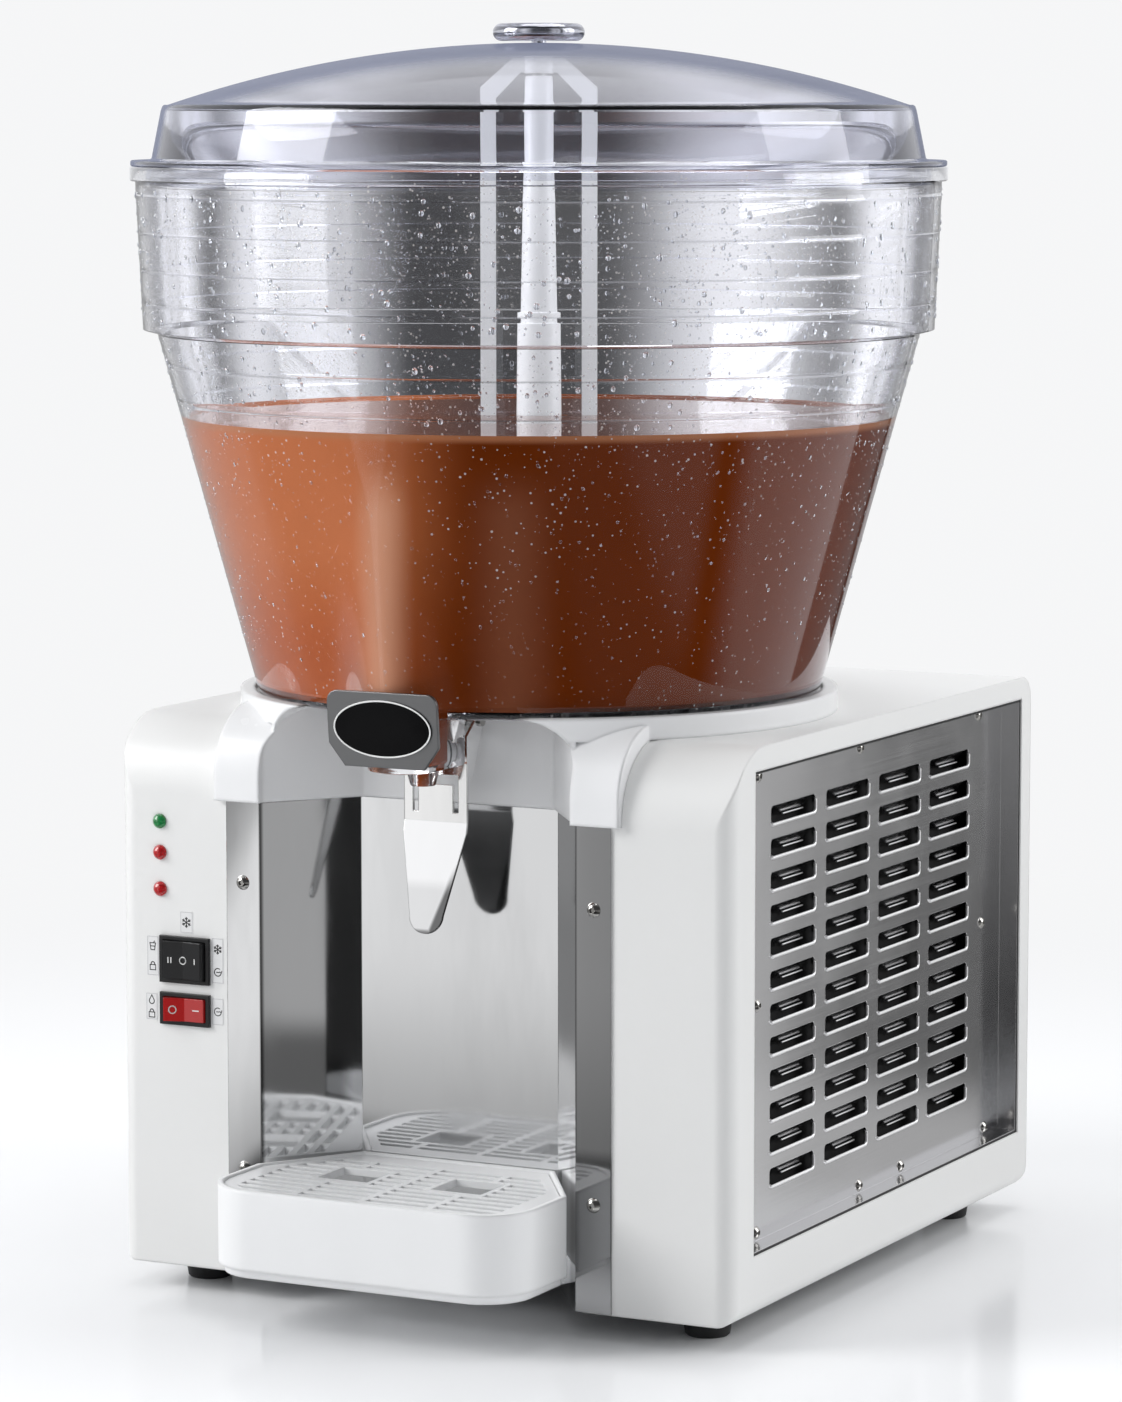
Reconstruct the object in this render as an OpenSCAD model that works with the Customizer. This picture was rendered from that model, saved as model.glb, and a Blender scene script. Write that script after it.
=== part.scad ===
// Cold drink dispenser: a clear lift-off bowl on a cooled cabinet, with a push-lever tap, a turning
// agitator, a drip tray and a louvred machine space.
// Lengths are in millimetres. In the modules Y runs back from the cabinet's front face and Z up from
// the floor. place() then puts the origin on the floor under the middle of the whole object.

/* [Cabinet] */
// Width of the cabinet
cab_w = 368; // [360:1:400]
// Depth of the cabinet
cab_d = 410; // [404:1:440]
// Height of the cabinet above its feet
cab_h = 300; // [296:1:330]
// Height of the rubber feet
foot_h = 14; // [10:1:20]
// Radius of the bend from the front face into the top
edge_r = 40; // [34:1:44]
// Radius of the rear edges
rear_r = 14; // [11:1:17]
// Radius of the upright corners
corner_r = 10; // [7:1:12]
// Radius of the lower corners
sill_r = 8; // [6:1:10]
// Thickness of the painted sheet
shell_t = 2; // [1.6:0.1:2.4]

/* [Side and rear panels] */
// Thickness of the stainless and galvanised sheet
sheet_t = 1.2; // [1:0.1:1.4]
// Depth of a side panel behind the cabinet's side
panel_recess = 12; // [10:0.5:13]
// Length of one louvre slot
slot_l = 57; // [50:1:60]
// Height of one louvre slot
slot_h = 10; // [8:0.5:11]
// Louvre columns
slot_columns = 4; // [2:1:4]
// Louvre rows
slot_rows = 12; // [6:1:12]

/* [Serving niche] */
// Width of the niche at the front
niche_w = 188; // [180:1:192]
// Width of the niche at the back
niche_back_w = 118; // [112:1:124]
// Depth of the niche
niche_depth = 49; // [47:1:51]
// Width of the steel strips beside the niche
strip_w = 21.4; // [18:0.2:24]

/* [Collar] */
// Radius of the collar under the bowl
collar_r = 164; // [162:1:168]
// Height of the collar above the cabinet
collar_h = 12; // [11:0.5:14]
// Width of the legs that come down over the front edge
leg_w = 28; // [24:1:32]
// Length of the legs below the cabinet's top
leg_drop = 42; // [38:1:46]
// Wall of the moulding
moulding_t = 3; // [2.5:0.1:3.5]

/* [Bowl] */
// Distance of the bowl's axis behind the front face
bowl_y = 142.5; // [141:0.5:146]
// Radius of the bowl at its base
bowl_base_r = 153.8; // [152:0.2:155]
// Radius above the ledge
upper_r = 215.4; // [212:0.1:219]
// Width of the ledge
ledge_step = 7.7; // [6:0.1:9]
// Reach of the rim beyond the radius above the ledge
rim_reach = 6.6; // [6:0.1:8]
// Height of the conical part
cone_h = 196.5; // [190:0.5:205]
// Height from the ledge to the rim
upper_h = 82; // [76:1:90]
// Height of the rim
rim_h = 8; // [7:0.5:12]
// Wall of the bowl
bowl_t = 4; // [3.5:0.1:4.5]

/* [Lid] */
// Height of the sloping skirt
skirt_h = 29.8; // [26:0.2:34]
// Rise of the dome
dome_h = 33.4; // [30:0.2:40]
// Wall of the lid
lid_t = 3; // [2.5:0.1:3.5]
// Radius of the knob
knob_r = 25; // [20:0.5:28]
// Height of the knob
knob_h = 9.5; // [8:0.5:12]

/* [Tap] */
// Outer radius of the spout channel at its foot
spout_r = 20; // [19:0.5:21]
// Width of the push lever
lever_w = 38; // [37:0.5:40]
// Length of the lever's tongue
tongue_l = 60; // [50:1:64]
// Thickness of the lever's sheet
lever_t = 1.5; // [1.2:0.1:1.6]

/* [Agitator] */
// Distance of the arms from the axis
arm_r = 27.6; // [26:0.2:30]
// Width of an arm
arm_w = 8.5; // [7:0.5:9.5]
// Reach of the paddles
paddle_r = 62; // [55:1:70]
// Angle at which the arms stand, in degrees
arm_angle = 27; // [0:1:180]
// Radius of the drive shaft
shaft_r = 4; // [3.5:0.1:4.4]

/* [Drip tray] */
// Reach of the tray in front of the cabinet
tray_reach = 72; // [64:1:76]
// Height of the tray's rim above the cabinet's bottom edge
tray_top = 63; // [58:1:68]
// Depth of the tray
tray_h = 43; // [38:1:45]
// Radius of the tray's front corners
tray_corner_r = 30; // [22:1:34]
// Wall of the tray
tray_t = 3; // [2.5:0.1:3.5]

/* [Switches and lamps] */
// Width of both switch bezels
bezel_w = 31; // [30.5:0.5:33]
// Height of the three-position switch bezel
mode_h = 25.6; // [24:0.2:27]
// Height of the two-position switch bezel
power_h = 17.6; // [17:0.2:20]
// Radius of an indicator lamp's dome
lamp_r = 4; // [3.4:0.1:4.4]

/* [Cooling machine] */
// Radius of the compressor's shell
compressor_r = 62; // [54:1:64]
// Radius of the condenser fan
fan_r = 80; // [70:1:84]
// Number of fan blades
fan_blades = 5; // [4:1:7]
// Number of condenser fins
fin_count = 24; // [12:1:28]
// Number of condenser tube runs, an even number
run_count = 6; // [4:2:6]

/* [Hidden] */
$fn = 96;
// Clearances
slide_gap = 0.5;
seat_gap = 0.3;
run_gap = 0.06;
over = 1;
// Heights of the cabinet
deck_z = foot_h + cab_h;
leg_z = deck_z - leg_drop;
collar_top = deck_z + collar_h;
seat_z = collar_top - 2.5;
// Radii of the bowl
ledge_r = upper_r - ledge_step;
rim_r = upper_r + rim_reach;
// Domed screws
screw_r = 1.8;
screw_head_r = 3.6;
screw_head_h = 2;
screw_l = 8;
screw_gap = 0.2;
// The origin lies midway between the bowl's front and the screw heads at the back
origin_y = -((bowl_y - rim_r) + cab_d + screw_head_h) / 2;

// Side openings of the shell, and the panels in them
side_y0 = 28;
side_y1 = cab_d - 14;
side_z0 = foot_h + 32.7;
side_z1 = deck_z - 12.7;
side_lip = 12;
front_post = 38;
sill_lip = 20;
rear_post = 44;
panel_x = cab_w / 2 - panel_recess;
panel_flange = panel_recess - 1;
slot_front = 45.6;
slot_rear = 7.2;
slot_y0 = side_y0 + slot_front;
slot_pitch_y = (side_y1 - rear_post - slot_rear - slot_l - slot_y0) / (slot_columns - 1);
slot_pitch_z = 17.6;
slot_top = side_z1 - 24;
slot_corner = 2.5;
vane_l = 10;
vane_tilt = 40;
side_mid_z = (side_z0 + side_z1) / 2;
screw_edge = 6;
front_screw = 29;
side_screw_spots = [
    [side_y0 + front_screw, side_z1 - screw_edge],
    [side_y0 + 162, side_z1 - screw_edge],
    [side_y1 - 37, side_z1 - screw_edge],
    [side_y1 - 30, side_mid_z],
    [side_y1 - 23, side_z0 + screw_edge],
    [side_y1 - 146, side_z0 + screw_edge],
    [side_y0 + 164, side_z0 + screw_edge],
    [side_y0 + front_screw, side_z0 + screw_edge],
    [side_y0 + front_screw, side_mid_z]
];

// Foam behind the louvres, lapping over the lips of the side openings
filter_x = panel_x - 11;
filter_t = 2;
filter_rim = 2.5;
filter_lap = 3;

// Rear opening and the panel behind it
rear_panel_y = cab_d - shell_t - sheet_t;
rear_half = cab_w / 2 - shell_t - slide_gap;
rear_z0 = foot_h + rear_r;
rear_z1 = deck_z - rear_r;
rear_lip = 10;
rear_screw_spots = [
    for (x = [-1, 1], z = [rear_z0 + rear_lip / 2, (rear_z0 + rear_z1) / 2, rear_z1 - rear_lip / 2])
        [x * (rear_half - rear_lip / 2), z]
];
rear_screw_l = 6;
rear_slot_rows = 9;
rear_slot_pitch = 16;
rear_slot_x = 85;
rear_slot_l = 110;
rear_slot_h = 6;
rear_slot_z = rear_z1 - 50;
gland_x = -120;
gland_z = foot_h + 46;
gland_r = 7;
gland_wall = 3;
gland_reach = 6;

// Niche, its liner and the recess in the collar
liner_t = 1;
niche_slope = (niche_w - niche_back_w) / 2 / niche_depth;
liner_side = liner_t * sqrt(1 + niche_slope * niche_slope);
liner_top = leg_z - seat_gap;
liner_bottom = foot_h + 0.5;
cut_margin = 3.5;
recess_half = niche_w / 2 - 1;
recess_back_half = niche_back_w / 2 - 1;
recess_back_y = niche_depth - 2.35;
leg_t = 4.5;
leg_reach = 62;
leg_rise = collar_h - 4;
leg_bend = edge_r - 2;
arch_r = 30;
arch_z = collar_top - arch_r;
strip_screw_x = niche_w / 2 + strip_w / 2 + 0.5;
strip_screw_z = [foot_h + 58, foot_h + 214];
strip_head_r = 4;
socket_r = 1.6;
hook_half = 31;
hook_w = 12;
hook_h = 4;
hook_l = 12;
hook_z = foot_h + tray_top - 15;

// Collar ring
collar_inner_r = 91.5;
seat_r = bowl_base_r + 2.2;
rib_count = 12;
rib_t = 2.4;

// Evaporator, gasket and column
evap_flange_r = collar_inner_r - 1;
evap_r = 84;
evap_t = 2;
evap_side_h = 36;
evap_top = deck_z + 52;
evap_pad_r = 30;
deck_hole_r = 60;
column_bore_r = 6;
column_foot_r = 26;
column_foot_h = 5;
bush_l = 14;
gasket_gap = 0.2;

// Bowl heights
bowl_hole_r = 90;
bowl_floor_t = 5;
neck_t = 4;
neck_top = seat_z + 16;
ledge_z = seat_z + cone_h;
ledge_rise = 2;
rim_z = ledge_z + upper_h;
rim_top = rim_z + rim_h;
upper_top_r = rim_r - 3;
mouth_r = rim_r - 8;
cone_slope = (ledge_r - bowl_base_r) / cone_h;
wall_side = bowl_t * sqrt(1 + cone_slope * cone_slope);

// Lid
lid_flange_r = rim_r - 0.5;
lid_base_r = rim_r - 12;
shoulder_r = lid_base_r - 6;
lid_lip_h = 5;
flange_z = rim_top + lid_t;
shoulder_z = flange_z + skirt_h;
dome_top = shoulder_z + dome_h;
dome_r = (shoulder_r * shoulder_r + dome_h * dome_h) / (2 * dome_h);
knob_pad_r = 12;
knob_pad_h = 1;
peg_r = 4;

// Column, agitator and its shaft
column_top = rim_top + 49;
column_step = ledge_z + 7;
shaft_grip = 7;
arm_t = 6;
hub_r = 8;
hub_z = column_top + 1.5;
hub_h = 9.5;
shoulder_drop = 16;
ring_z = evap_top + column_foot_h + 4;
ring_h = 20;
ring_inner_r = 15;
ring_outer_r = 25;
paddle_h = 30;
paddle_t = 4;
paddle_tilt = 25;
shaft_bottom = deck_z - 24;

// Spout, tap lever and valve
spout_t = 3.5;
spout_y = -11.5;
spout_z = seat_z - 27.5;
spout_floor = 4;
channel_top_r = 8;
channel_top = ledge_z - 58;
channel_front = bowl_y - bowl_base_r - cone_slope * (channel_top - seat_z) + bowl_t / 2;
spout_lean = atan2(spout_y - spout_r - channel_front, channel_top - spout_z);
block_half = spout_r - 0.8;
block_rear = 21.4;
valve_z = spout_z + 8;
valve_r = 5.5;
seat_hole_r = 4;
seat_y = 2.5;
nozzle_y = 8;
nozzle_r = 9.5;
nozzle_tip_r = 6.8;
nozzle_bore_r = 3.5;
nozzle_h = 10;
pivot_y = 37;
pivot_z = seat_z - 5;
pin_r = 2;
ear_inner = 12;
ear_outer = 16;
ear_r = 3.2;
plate_y = block_rear + 0.6;
plate_top = valve_z + 7.5;
plate_bottom = spout_z - 31;
fork_half = 3;
tongue_lean = 13;
tongue_tip_r = 10;
tongue_neck = 6;
cheek_r = 4.2;
cheek_drop = 22;
cheek_foot = 7;
slit_x = 12;
slit_w = 3;
slit_z0 = plate_bottom + 5;
slit_z1 = spout_z - 6;
slit_bridge = 5;
rod_r = 2.5;
button_r = 3.9;
button_t = 2;
button_gap = 1.1;
button_y = plate_y + lever_t + button_gap;
plug_r = 4.6;
plug_t = 1.6;
stem_r = 2.6;
piston_r = valve_r - run_gap;
piston_y = nozzle_y + 4.5;
piston_l = 4.5;
groove_r = 4.2;
groove_w = 1.8;
groove_y = piston_y + 1.1;
seal_t = 1.5;
badge_w = 65;
badge_h = 40;
badge_t = 2;
badge_z = spout_z + 6;
badge_chamfer = [9, 12];
badge_corner = 6;
badge_pad = 10;
oval_w = 58;
oval_h = 31;
oval_t = 0.8;

// Drip tray and grid
tray_half = niche_w / 2 - 1;
tray_back_half = niche_back_w / 2 - 1;
tray_back_y = niche_depth - liner_t - 1;
tray_taper_y = -8;
tray_rim_z = foot_h + tray_top;
tray_floor_z = tray_rim_z - tray_h;
plinth_h = 4.5;
plinth_inset = 3.4;
ledge_w = 3.5;
ledge_t = 2;
grid_t = 4;
grid_gap = 0.6;
grid_z = tray_rim_z - grid_t - 1;
grid_border = 6;
grid_slot_w = 5;
grid_pitch_y = 9.2;
grid_pitch_x = 40;
grid_rib = 4;
grid_hole = [30, 29];
grid_hole_y = -6;
grid_hole_x = 34;
grid_frame = 3;

// Switches and lamps on the left cheek
switch_x = -142;
mode_z = foot_h + 169;
power_z = foot_h + 142;
bezel_t = 2;
bezel_edge = 2.2;
rocker_pivot_y = 1;
rocker_r = bezel_w / 2 - bezel_edge - 0.3;
rocker_reach = 6;
rocker_dish = 2;
rocker_pin_r = 1.2;
rocker_rest = 9;
switch_depth = 22;
switch_wall = 1;
lamp_x = -157.5;
lamp_z = [foot_h + 244, foot_h + 227, foot_h + 207];
lamp_body_r = lamp_r - 0.6;
lamp_body_l = 12;

// Feet and base pan
foot_r = 14;
foot_top_r = 12;
foot_neck_r = 8;
foot_spots = [for (x = [-1, 1], y = [40, cab_d - 45]) [x * (cab_w / 2 - 32), y]];
pan_z = foot_h + shell_t;
pan_t = 1.5;
pan_flange = 14;
pan_top = pan_z + pan_t;

// Machine space
compressor_x = -80;
compressor_y = bowl_y + 147.5;
compressor_h = 150;
compressor_z = pan_top + 14;
compressor_foot = [118, 96];
compressor_foot_t = 3;
stub_r = 4;
stub_l = 10;
stub_z = compressor_z + 116;
grommet_r = 9;
condenser_x = [panel_x - 50, panel_x - 14];
condenser_y = [120, cab_d - 36];
condenser_z = [pan_top, pan_top + 216];
fin_t = 1;
end_plate_t = 1.5;
tube_r = 4;
run_z0 = pan_top + 24;
run_pitch = 34;
run_x = (condenser_x[0] + condenser_x[1]) / 2;
run_end = 8;
fan_x = panel_x - 80;
fan_y = (condenser_y[0] + condenser_y[1]) / 2;
fan_z = pan_top + fan_r + 14;
fan_hub_r = 20;
fan_depth = 18;
blade_t = 2;
blade_tilt = 32;
shroud_x = panel_x - 60;
shroud_t = 2;
shroud_half = fan_r + 12;
fan_motor_r = 32;
fan_motor_l = 38;
fan_shaft_r = 3;
spider_w = 10;
gear_r = 38;
gear_h = 30;
motor_r = 31;
motor_h = 60;
gear_top = deck_z - 22;
bracket_half = [52, 40];
drier_spot = [60, cab_d - 60];
drier_r = 11;
drier_z = [pan_top + 44, pan_top + 134];
box_min = [-cab_w / 2 + 26, 60, pan_top];
box_size = [62, 70, 78];
box_t = 2;

// Copper lines and the corners that they turn
line_r = 3;
capillary_r = 1.5;
suction_r = 4;
line_bend = 14;
run_top = run_z0 + (run_count - 1) * run_pitch;
entry_y = condenser_y[0] - run_end;
line_front = entry_y - 22;
discharge_x = compressor_x + compressor_r + stub_l + 28;
discharge_z = deck_z - 46;
capillary_spot = [14, bowl_y + 51.5];
capillary_z = deck_z - 74;
suction_spot = [-14, bowl_y + 49.5];
suction_z = deck_z - 84;
discharge_path = [
    [compressor_x + compressor_r + stub_l, compressor_y, stub_z],
    [discharge_x, compressor_y, stub_z],
    [discharge_x, compressor_y, discharge_z],
    [run_x, compressor_y, discharge_z],
    [run_x, line_front, discharge_z],
    [run_x, line_front, run_top],
    [run_x, entry_y, run_top]
];
liquid_path = [
    [run_x, entry_y, run_z0],
    [run_x, line_front, run_z0],
    [drier_spot[0], line_front, run_z0],
    [drier_spot[0], drier_spot[1], run_z0],
    [drier_spot[0], drier_spot[1], drier_z[0]]
];
capillary_path = [
    [drier_spot[0], drier_spot[1], drier_z[1]],
    [drier_spot[0], drier_spot[1], capillary_z],
    [drier_spot[0], capillary_spot[1], capillary_z],
    [capillary_spot[0], capillary_spot[1], capillary_z],
    [capillary_spot[0], capillary_spot[1], deck_z]
];
suction_path = [
    [suction_spot[0], suction_spot[1], deck_z],
    [suction_spot[0], suction_spot[1], suction_z],
    [compressor_x, suction_spot[1], suction_z],
    [compressor_x, suction_spot[1], stub_z],
    [compressor_x, compressor_y - compressor_r - stub_l, stub_z]
];
// Return spring of the lever
spring_r = 4;
spring_wire_r = 0.6;
spring_turns = 6;
spring_half = 9.5;
spring_steps = 12;

// Placing and extruding

// Moves a piece from the cabinet's own frame to the object's origin
module place() { translate([0, origin_y, 0]) children(); }

// A box between two opposite corners
module block(a, b) { translate(a) cube(b - a); }

// Extrudes an outline of Y and Z along X, about the middle plane
module along_x(l) { rotate([90, 0, 90]) linear_extrude(l, center = true) children(); }

// Extrudes an outline of X and Z along Y, from y0 to y1
module along_y(y0, y1) { translate([0, y1, 0]) rotate([90, 0, 0]) linear_extrude(y1 - y0) children(); }

// Extrudes an outline of X and Y upright, from z0 to z1
module upright(z0, z1) { translate([0, 0, z0]) linear_extrude(z1 - z0) children(); }

// Draws a piece on the right and its mirror image on the left
module both_sides() {
    children();
    mirror([1, 0, 0]) children();
}

// A cylinder along X or Y from a point
module rod_x(p, l, r) { translate(p) rotate([0, 90, 0]) cylinder(h = l, r = r); }
module rod_y(p, l, r) { translate(p) rotate([-90, 0, 0]) cylinder(h = l, r = r); }

// Stands children on the bowl's axis
module on_axis() { translate([0, bowl_y, 0]) children(); }

// A rectangle with round corners, from its lower left corner
module round_rect(size, r) {
    translate([r, 0]) square([size[0] - 2 * r, size[1]]);
    translate([0, r]) square([size[0], size[1] - 2 * r]);
    for (x = [r, size[0] - r], y = [r, size[1] - r])
        translate([x, y]) circle(r);
}

// A screw with a domed head, which points along -Z from the surface under its head
module dome_screw(r, head_r, head_h, l) {
    cap_r = (head_r * head_r + head_h * head_h) / (2 * head_h);
    difference() {
        intersection() {
            translate([0, 0, head_h - cap_r]) sphere(cap_r);
            cylinder(h = head_h, r = head_r);
        }
        translate([0, 0, head_h / 2]) cylinder(h = head_h, r = socket_r, $fn = 6);
    }
    translate([0, 0, -l]) cylinder(h = l, r = r);
}

// Sweeping round wire along a path

function unit(v) = v / norm(v);
function carry(n, t) = unit(n - t * (n * t));
function side_of(t) = abs(t[2]) < 0.9 ? unit(cross(t, [0, 0, 1])) : unit(cross(t, [1, 0, 0]));
function tangents(p) = [
    for (i = [0 : len(p) - 1])
        unit(p[min(i + 1, len(p) - 1)] - p[max(i - 1, 0)])
];
function normals(t, i = 0, n = undef) =
    i == len(t) ? [] : let (m = carry(i == 0 ? side_of(t[0]) : n, t[i])) concat([m], normals(t, i + 1, m));
function corner_points(a, b, c, bend) =
    let (p = b + unit(a - b) * bend, q = b + unit(c - b) * bend)
    [for (s = [0 : 0.25 : 1]) p * (1 - s) * (1 - s) + b * 2 * s * (1 - s) + q * s * s];
function rounded_path(p, bend) = concat(
    [p[0]],
    [for (i = [1 : len(p) - 2]) each corner_points(p[i - 1], p[i], p[i + 1], bend)],
    [p[len(p) - 1]]
);

module wire(p, r, sides) {
    t = tangents(p);
    n = normals(t);
    rings = [
        for (i = [0 : len(p) - 1], k = [0 : sides - 1])
            p[i] + r * (cos(360 * k / sides) * n[i] + sin(360 * k / sides) * cross(t[i], n[i]))
    ];
    walls = [
        for (i = [0 : len(p) - 2], k = [0 : sides - 1])
            let (a = i * sides + k, b = i * sides + (k + 1) % sides)
            [b, a, a + sides, b + sides]
    ];
    first = [for (k = [0 : sides - 1]) k];
    last = [for (k = [sides - 1 : -1 : 0]) (len(p) - 1) * sides + k];
    polyhedron(points = rings, faces = concat(walls, [first, last]));
}

// A bent copper line that meets its ends squarely
module copper_line(path, r) { color("peru") wire(rounded_path(path, line_bend * r / suction_r), r, 10); }

// Cabinet

// Side view of the cabinet, drawn in by an inset
module side_profile(inset) {
    flat_h = cab_h - 2 * rear_r;
    translate([edge_r, deck_z - edge_r]) circle(edge_r - inset);
    translate([inset, foot_h + inset]) square([cab_d - rear_r - inset, cab_h - edge_r - inset]);
    translate([edge_r, foot_h + inset]) square([cab_d - rear_r - edge_r, cab_h - 2 * inset]);
    translate([edge_r, foot_h + rear_r]) square([cab_d - edge_r - inset, flat_h]);
    for (z = [foot_h + rear_r, deck_z - rear_r])
        translate([cab_d - rear_r, z]) circle(rear_r - inset);
}

// The cabinet's outside, drawn in by an even inset
module cabinet_envelope(inset) {
    width = cab_w - 2 * inset;
    intersection() {
        along_x(width) side_profile(inset);
        upright(foot_h, deck_z)
            translate([-width / 2, inset]) round_rect([width, cab_d + 3 * corner_r], corner_r - inset);
        along_y(0, cab_d) {
            translate([-width / 2, foot_h + inset]) round_rect([width, 3 * sill_r], sill_r - inset);
            translate([-width / 2, foot_h + 2 * sill_r]) square([width, cab_h - 2 * sill_r]);
        }
    }
}

// Plan of the niche, wider towards the front, with a margin all round
module niche_plan(half, back_half, back_y, margin) {
    front = 40;
    slope = (half - back_half) / back_y;
    side = margin * sqrt(1 + slope * slope);
    polygon([
        [-half - side, -front],
        [half + side, -front],
        [half + side, 0],
        [back_half + side - slope * margin, back_y + margin],
        [-back_half - side + slope * margin, back_y + margin],
        [-half - side, 0]
    ]);
}

// The frame around an opening in the side, with the lip behind its panel
module side_frame() {
    inner_x = panel_x - sheet_t;
    difference() {
        block(
            [inner_x - shell_t, side_y0 - shell_t, side_z0 - shell_t],
            [cab_w / 2, side_y1 + shell_t, side_z1 + shell_t]
        );
        block([inner_x, side_y0, side_z0], [cab_w / 2 + over, side_y1, side_z1]);
        block(
            [inner_x - shell_t - over, side_y0 + front_post, side_z0 + side_lip],
            [cab_w / 2, side_y1 - rear_post, side_z1 - side_lip]
        );
        for (s = side_screw_spots)
            rod_x([inner_x - shell_t - over, s[0], s[1]], shell_t + 2 * over, screw_r + screw_gap);
    }
}

module cabinet_shell() {
    color("white")
    difference() {
        union() {
            difference() {
                cabinet_envelope(0);
                cabinet_envelope(shell_t);
                block(
                    [-cab_w / 2 + sill_lip, sill_lip, foot_h - over],
                    [cab_w / 2 - sill_lip, cab_d - sill_lip, foot_h + 2 * shell_t]
                );
                block(
                    [-rear_half + rear_lip, cab_d - 2 * shell_t, rear_z0 + rear_lip],
                    [rear_half - rear_lip, cab_d + over, rear_z1 - rear_lip]
                );
                both_sides()
                    block([panel_x, side_y0, side_z0], [cab_w / 2 + over, side_y1, side_z1]);
            }
            both_sides() side_frame();
        }
        for (s = rear_screw_spots)
            rod_y([s[0], cab_d - 2 * shell_t, s[1]], 3 * shell_t, screw_r + screw_gap);
        upright(foot_h - over, deck_z + over) niche_plan(niche_w / 2, niche_back_w / 2, niche_depth, cut_margin);
        on_axis() translate([0, 0, deck_z - 2 * shell_t]) cylinder(h = 3 * shell_t, r = deck_hole_r);
        both_sides()
            for (z = strip_screw_z)
                rod_y([strip_screw_x, -over, z], shell_t + 2 * over, screw_r + screw_gap);
        for (z = lamp_z)
            rod_y([lamp_x, -over, z], shell_t + 2 * over, lamp_body_r + 0.1);
        for (s = [[mode_z, mode_h], [power_z, power_h]])
            block(
                [switch_x - bezel_w / 2 + switch_wall, -over, s[0] - s[1] / 2 + switch_wall],
                [switch_x + bezel_w / 2 - switch_wall, shell_t + over, s[0] + s[1] / 2 - switch_wall]
            );
    }
}

module base_pan() {
    half = cab_w / 2 - shell_t - slide_gap;
    y0 = shell_t + slide_gap;
    y1 = cab_d - rear_r - slide_gap;
    corner = corner_r + sill_r;
    color("darkgray")
    difference() {
        union() {
            upright(pan_z, pan_top)
                polygon([
                    [-half + sill_r, y0], [half - sill_r, y0], [half - sill_r, corner], [half - sill_r, y1],
                    [-half + sill_r, y1], [-half + sill_r, corner]
                ]);
            both_sides()
                block([half - sill_r - pan_t, corner, pan_z], [half - sill_r, y1, pan_z + pan_flange]);
            block([-half + sill_r, y1 - pan_t, pan_z], [half - sill_r, y1, pan_z + pan_flange]);
        }
        upright(foot_h, deck_z)
            niche_plan(niche_w / 2, niche_back_w / 2, niche_depth, cut_margin + 1);
    }
}

module rubber_feet() {
    color("black")
    for (s = foot_spots)
        translate([s[0], s[1], 0])
            rotate_extrude()
                polygon([
                    [0, 0], [foot_top_r - 1, 0], [foot_top_r, 1], [foot_r, foot_h],
                    [foot_neck_r, foot_h], [foot_neck_r, pan_z], [0, pan_z]
                ]);
}

// One louvre: a slot, and the vane that is pressed inward from its upper edge
function slot_place(c, r) = [slot_y0 + c * slot_pitch_y, slot_top - slot_h - r * slot_pitch_z];

// A side panel of pressed sheet with a rim all round and rows of louvres
module side_panel() {
    inner_x = panel_x - sheet_t;
    y0 = side_y0 + slide_gap;
    y1 = side_y1 - slide_gap;
    z0 = side_z0 + slide_gap;
    z1 = side_z1 - slide_gap;
    difference() {
        block([inner_x, y0, z0], [panel_x + panel_flange, y1, z1]);
        block(
            [panel_x, y0 + sheet_t, z0 + sheet_t],
            [panel_x + 2 * panel_flange, y1 - sheet_t, z1 - sheet_t]
        );
        for (c = [0 : slot_columns - 1], r = [0 : slot_rows - 1])
            let (p = slot_place(c, r))
            translate([panel_x - sheet_t / 2, p[0], p[1]])
                rotate([90, 0, 90])
                    linear_extrude(4 * sheet_t, center = true) round_rect([slot_l, slot_h], slot_corner);
        for (s = side_screw_spots)
            rod_x([inner_x - over, s[0], s[1]], sheet_t + 2 * over, screw_r + screw_gap);
    }
    for (c = [0 : slot_columns - 1], r = [0 : slot_rows - 1])
        let (p = slot_place(c, r))
        translate([inner_x + 0.1, p[0] + slot_corner, p[1] + slot_h + 0.4])
            rotate([0, 180 + vane_tilt, 0]) cube([sheet_t * 0.8, slot_l - 2 * slot_corner, vane_l]);
}

module left_side_panel() { color("lightgray") mirror([1, 0, 0]) side_panel(); }

module right_side_panel() { color("lightgray") side_panel(); }

module side_panel_screws() {
    color("silver")
    both_sides()
        for (s = side_screw_spots)
            translate([panel_x, s[0], s[1]])
                rotate([0, 90, 0]) dome_screw(screw_r, screw_head_r, screw_head_h, screw_l);
}

// A shallow tray of open foam behind each side panel, seated on the lip of its opening
module air_filters() {
    lip_x = panel_x - sheet_t - shell_t;
    low = [side_y0 + front_post - filter_lap, side_z0 + side_lip - filter_lap];
    high = [side_y1 - rear_post + filter_lap, side_z1 - side_lip + filter_lap];
    color([0.08, 0.08, 0.08])
    both_sides()
        difference() {
            block([filter_x, low[0], low[1]], [lip_x, high[0], high[1]]);
            block(
                [filter_x + filter_t, low[0] + filter_rim, low[1] + filter_rim],
                [lip_x + over, high[0] - filter_rim, high[1] - filter_rim]
            );
        }
}

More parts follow.
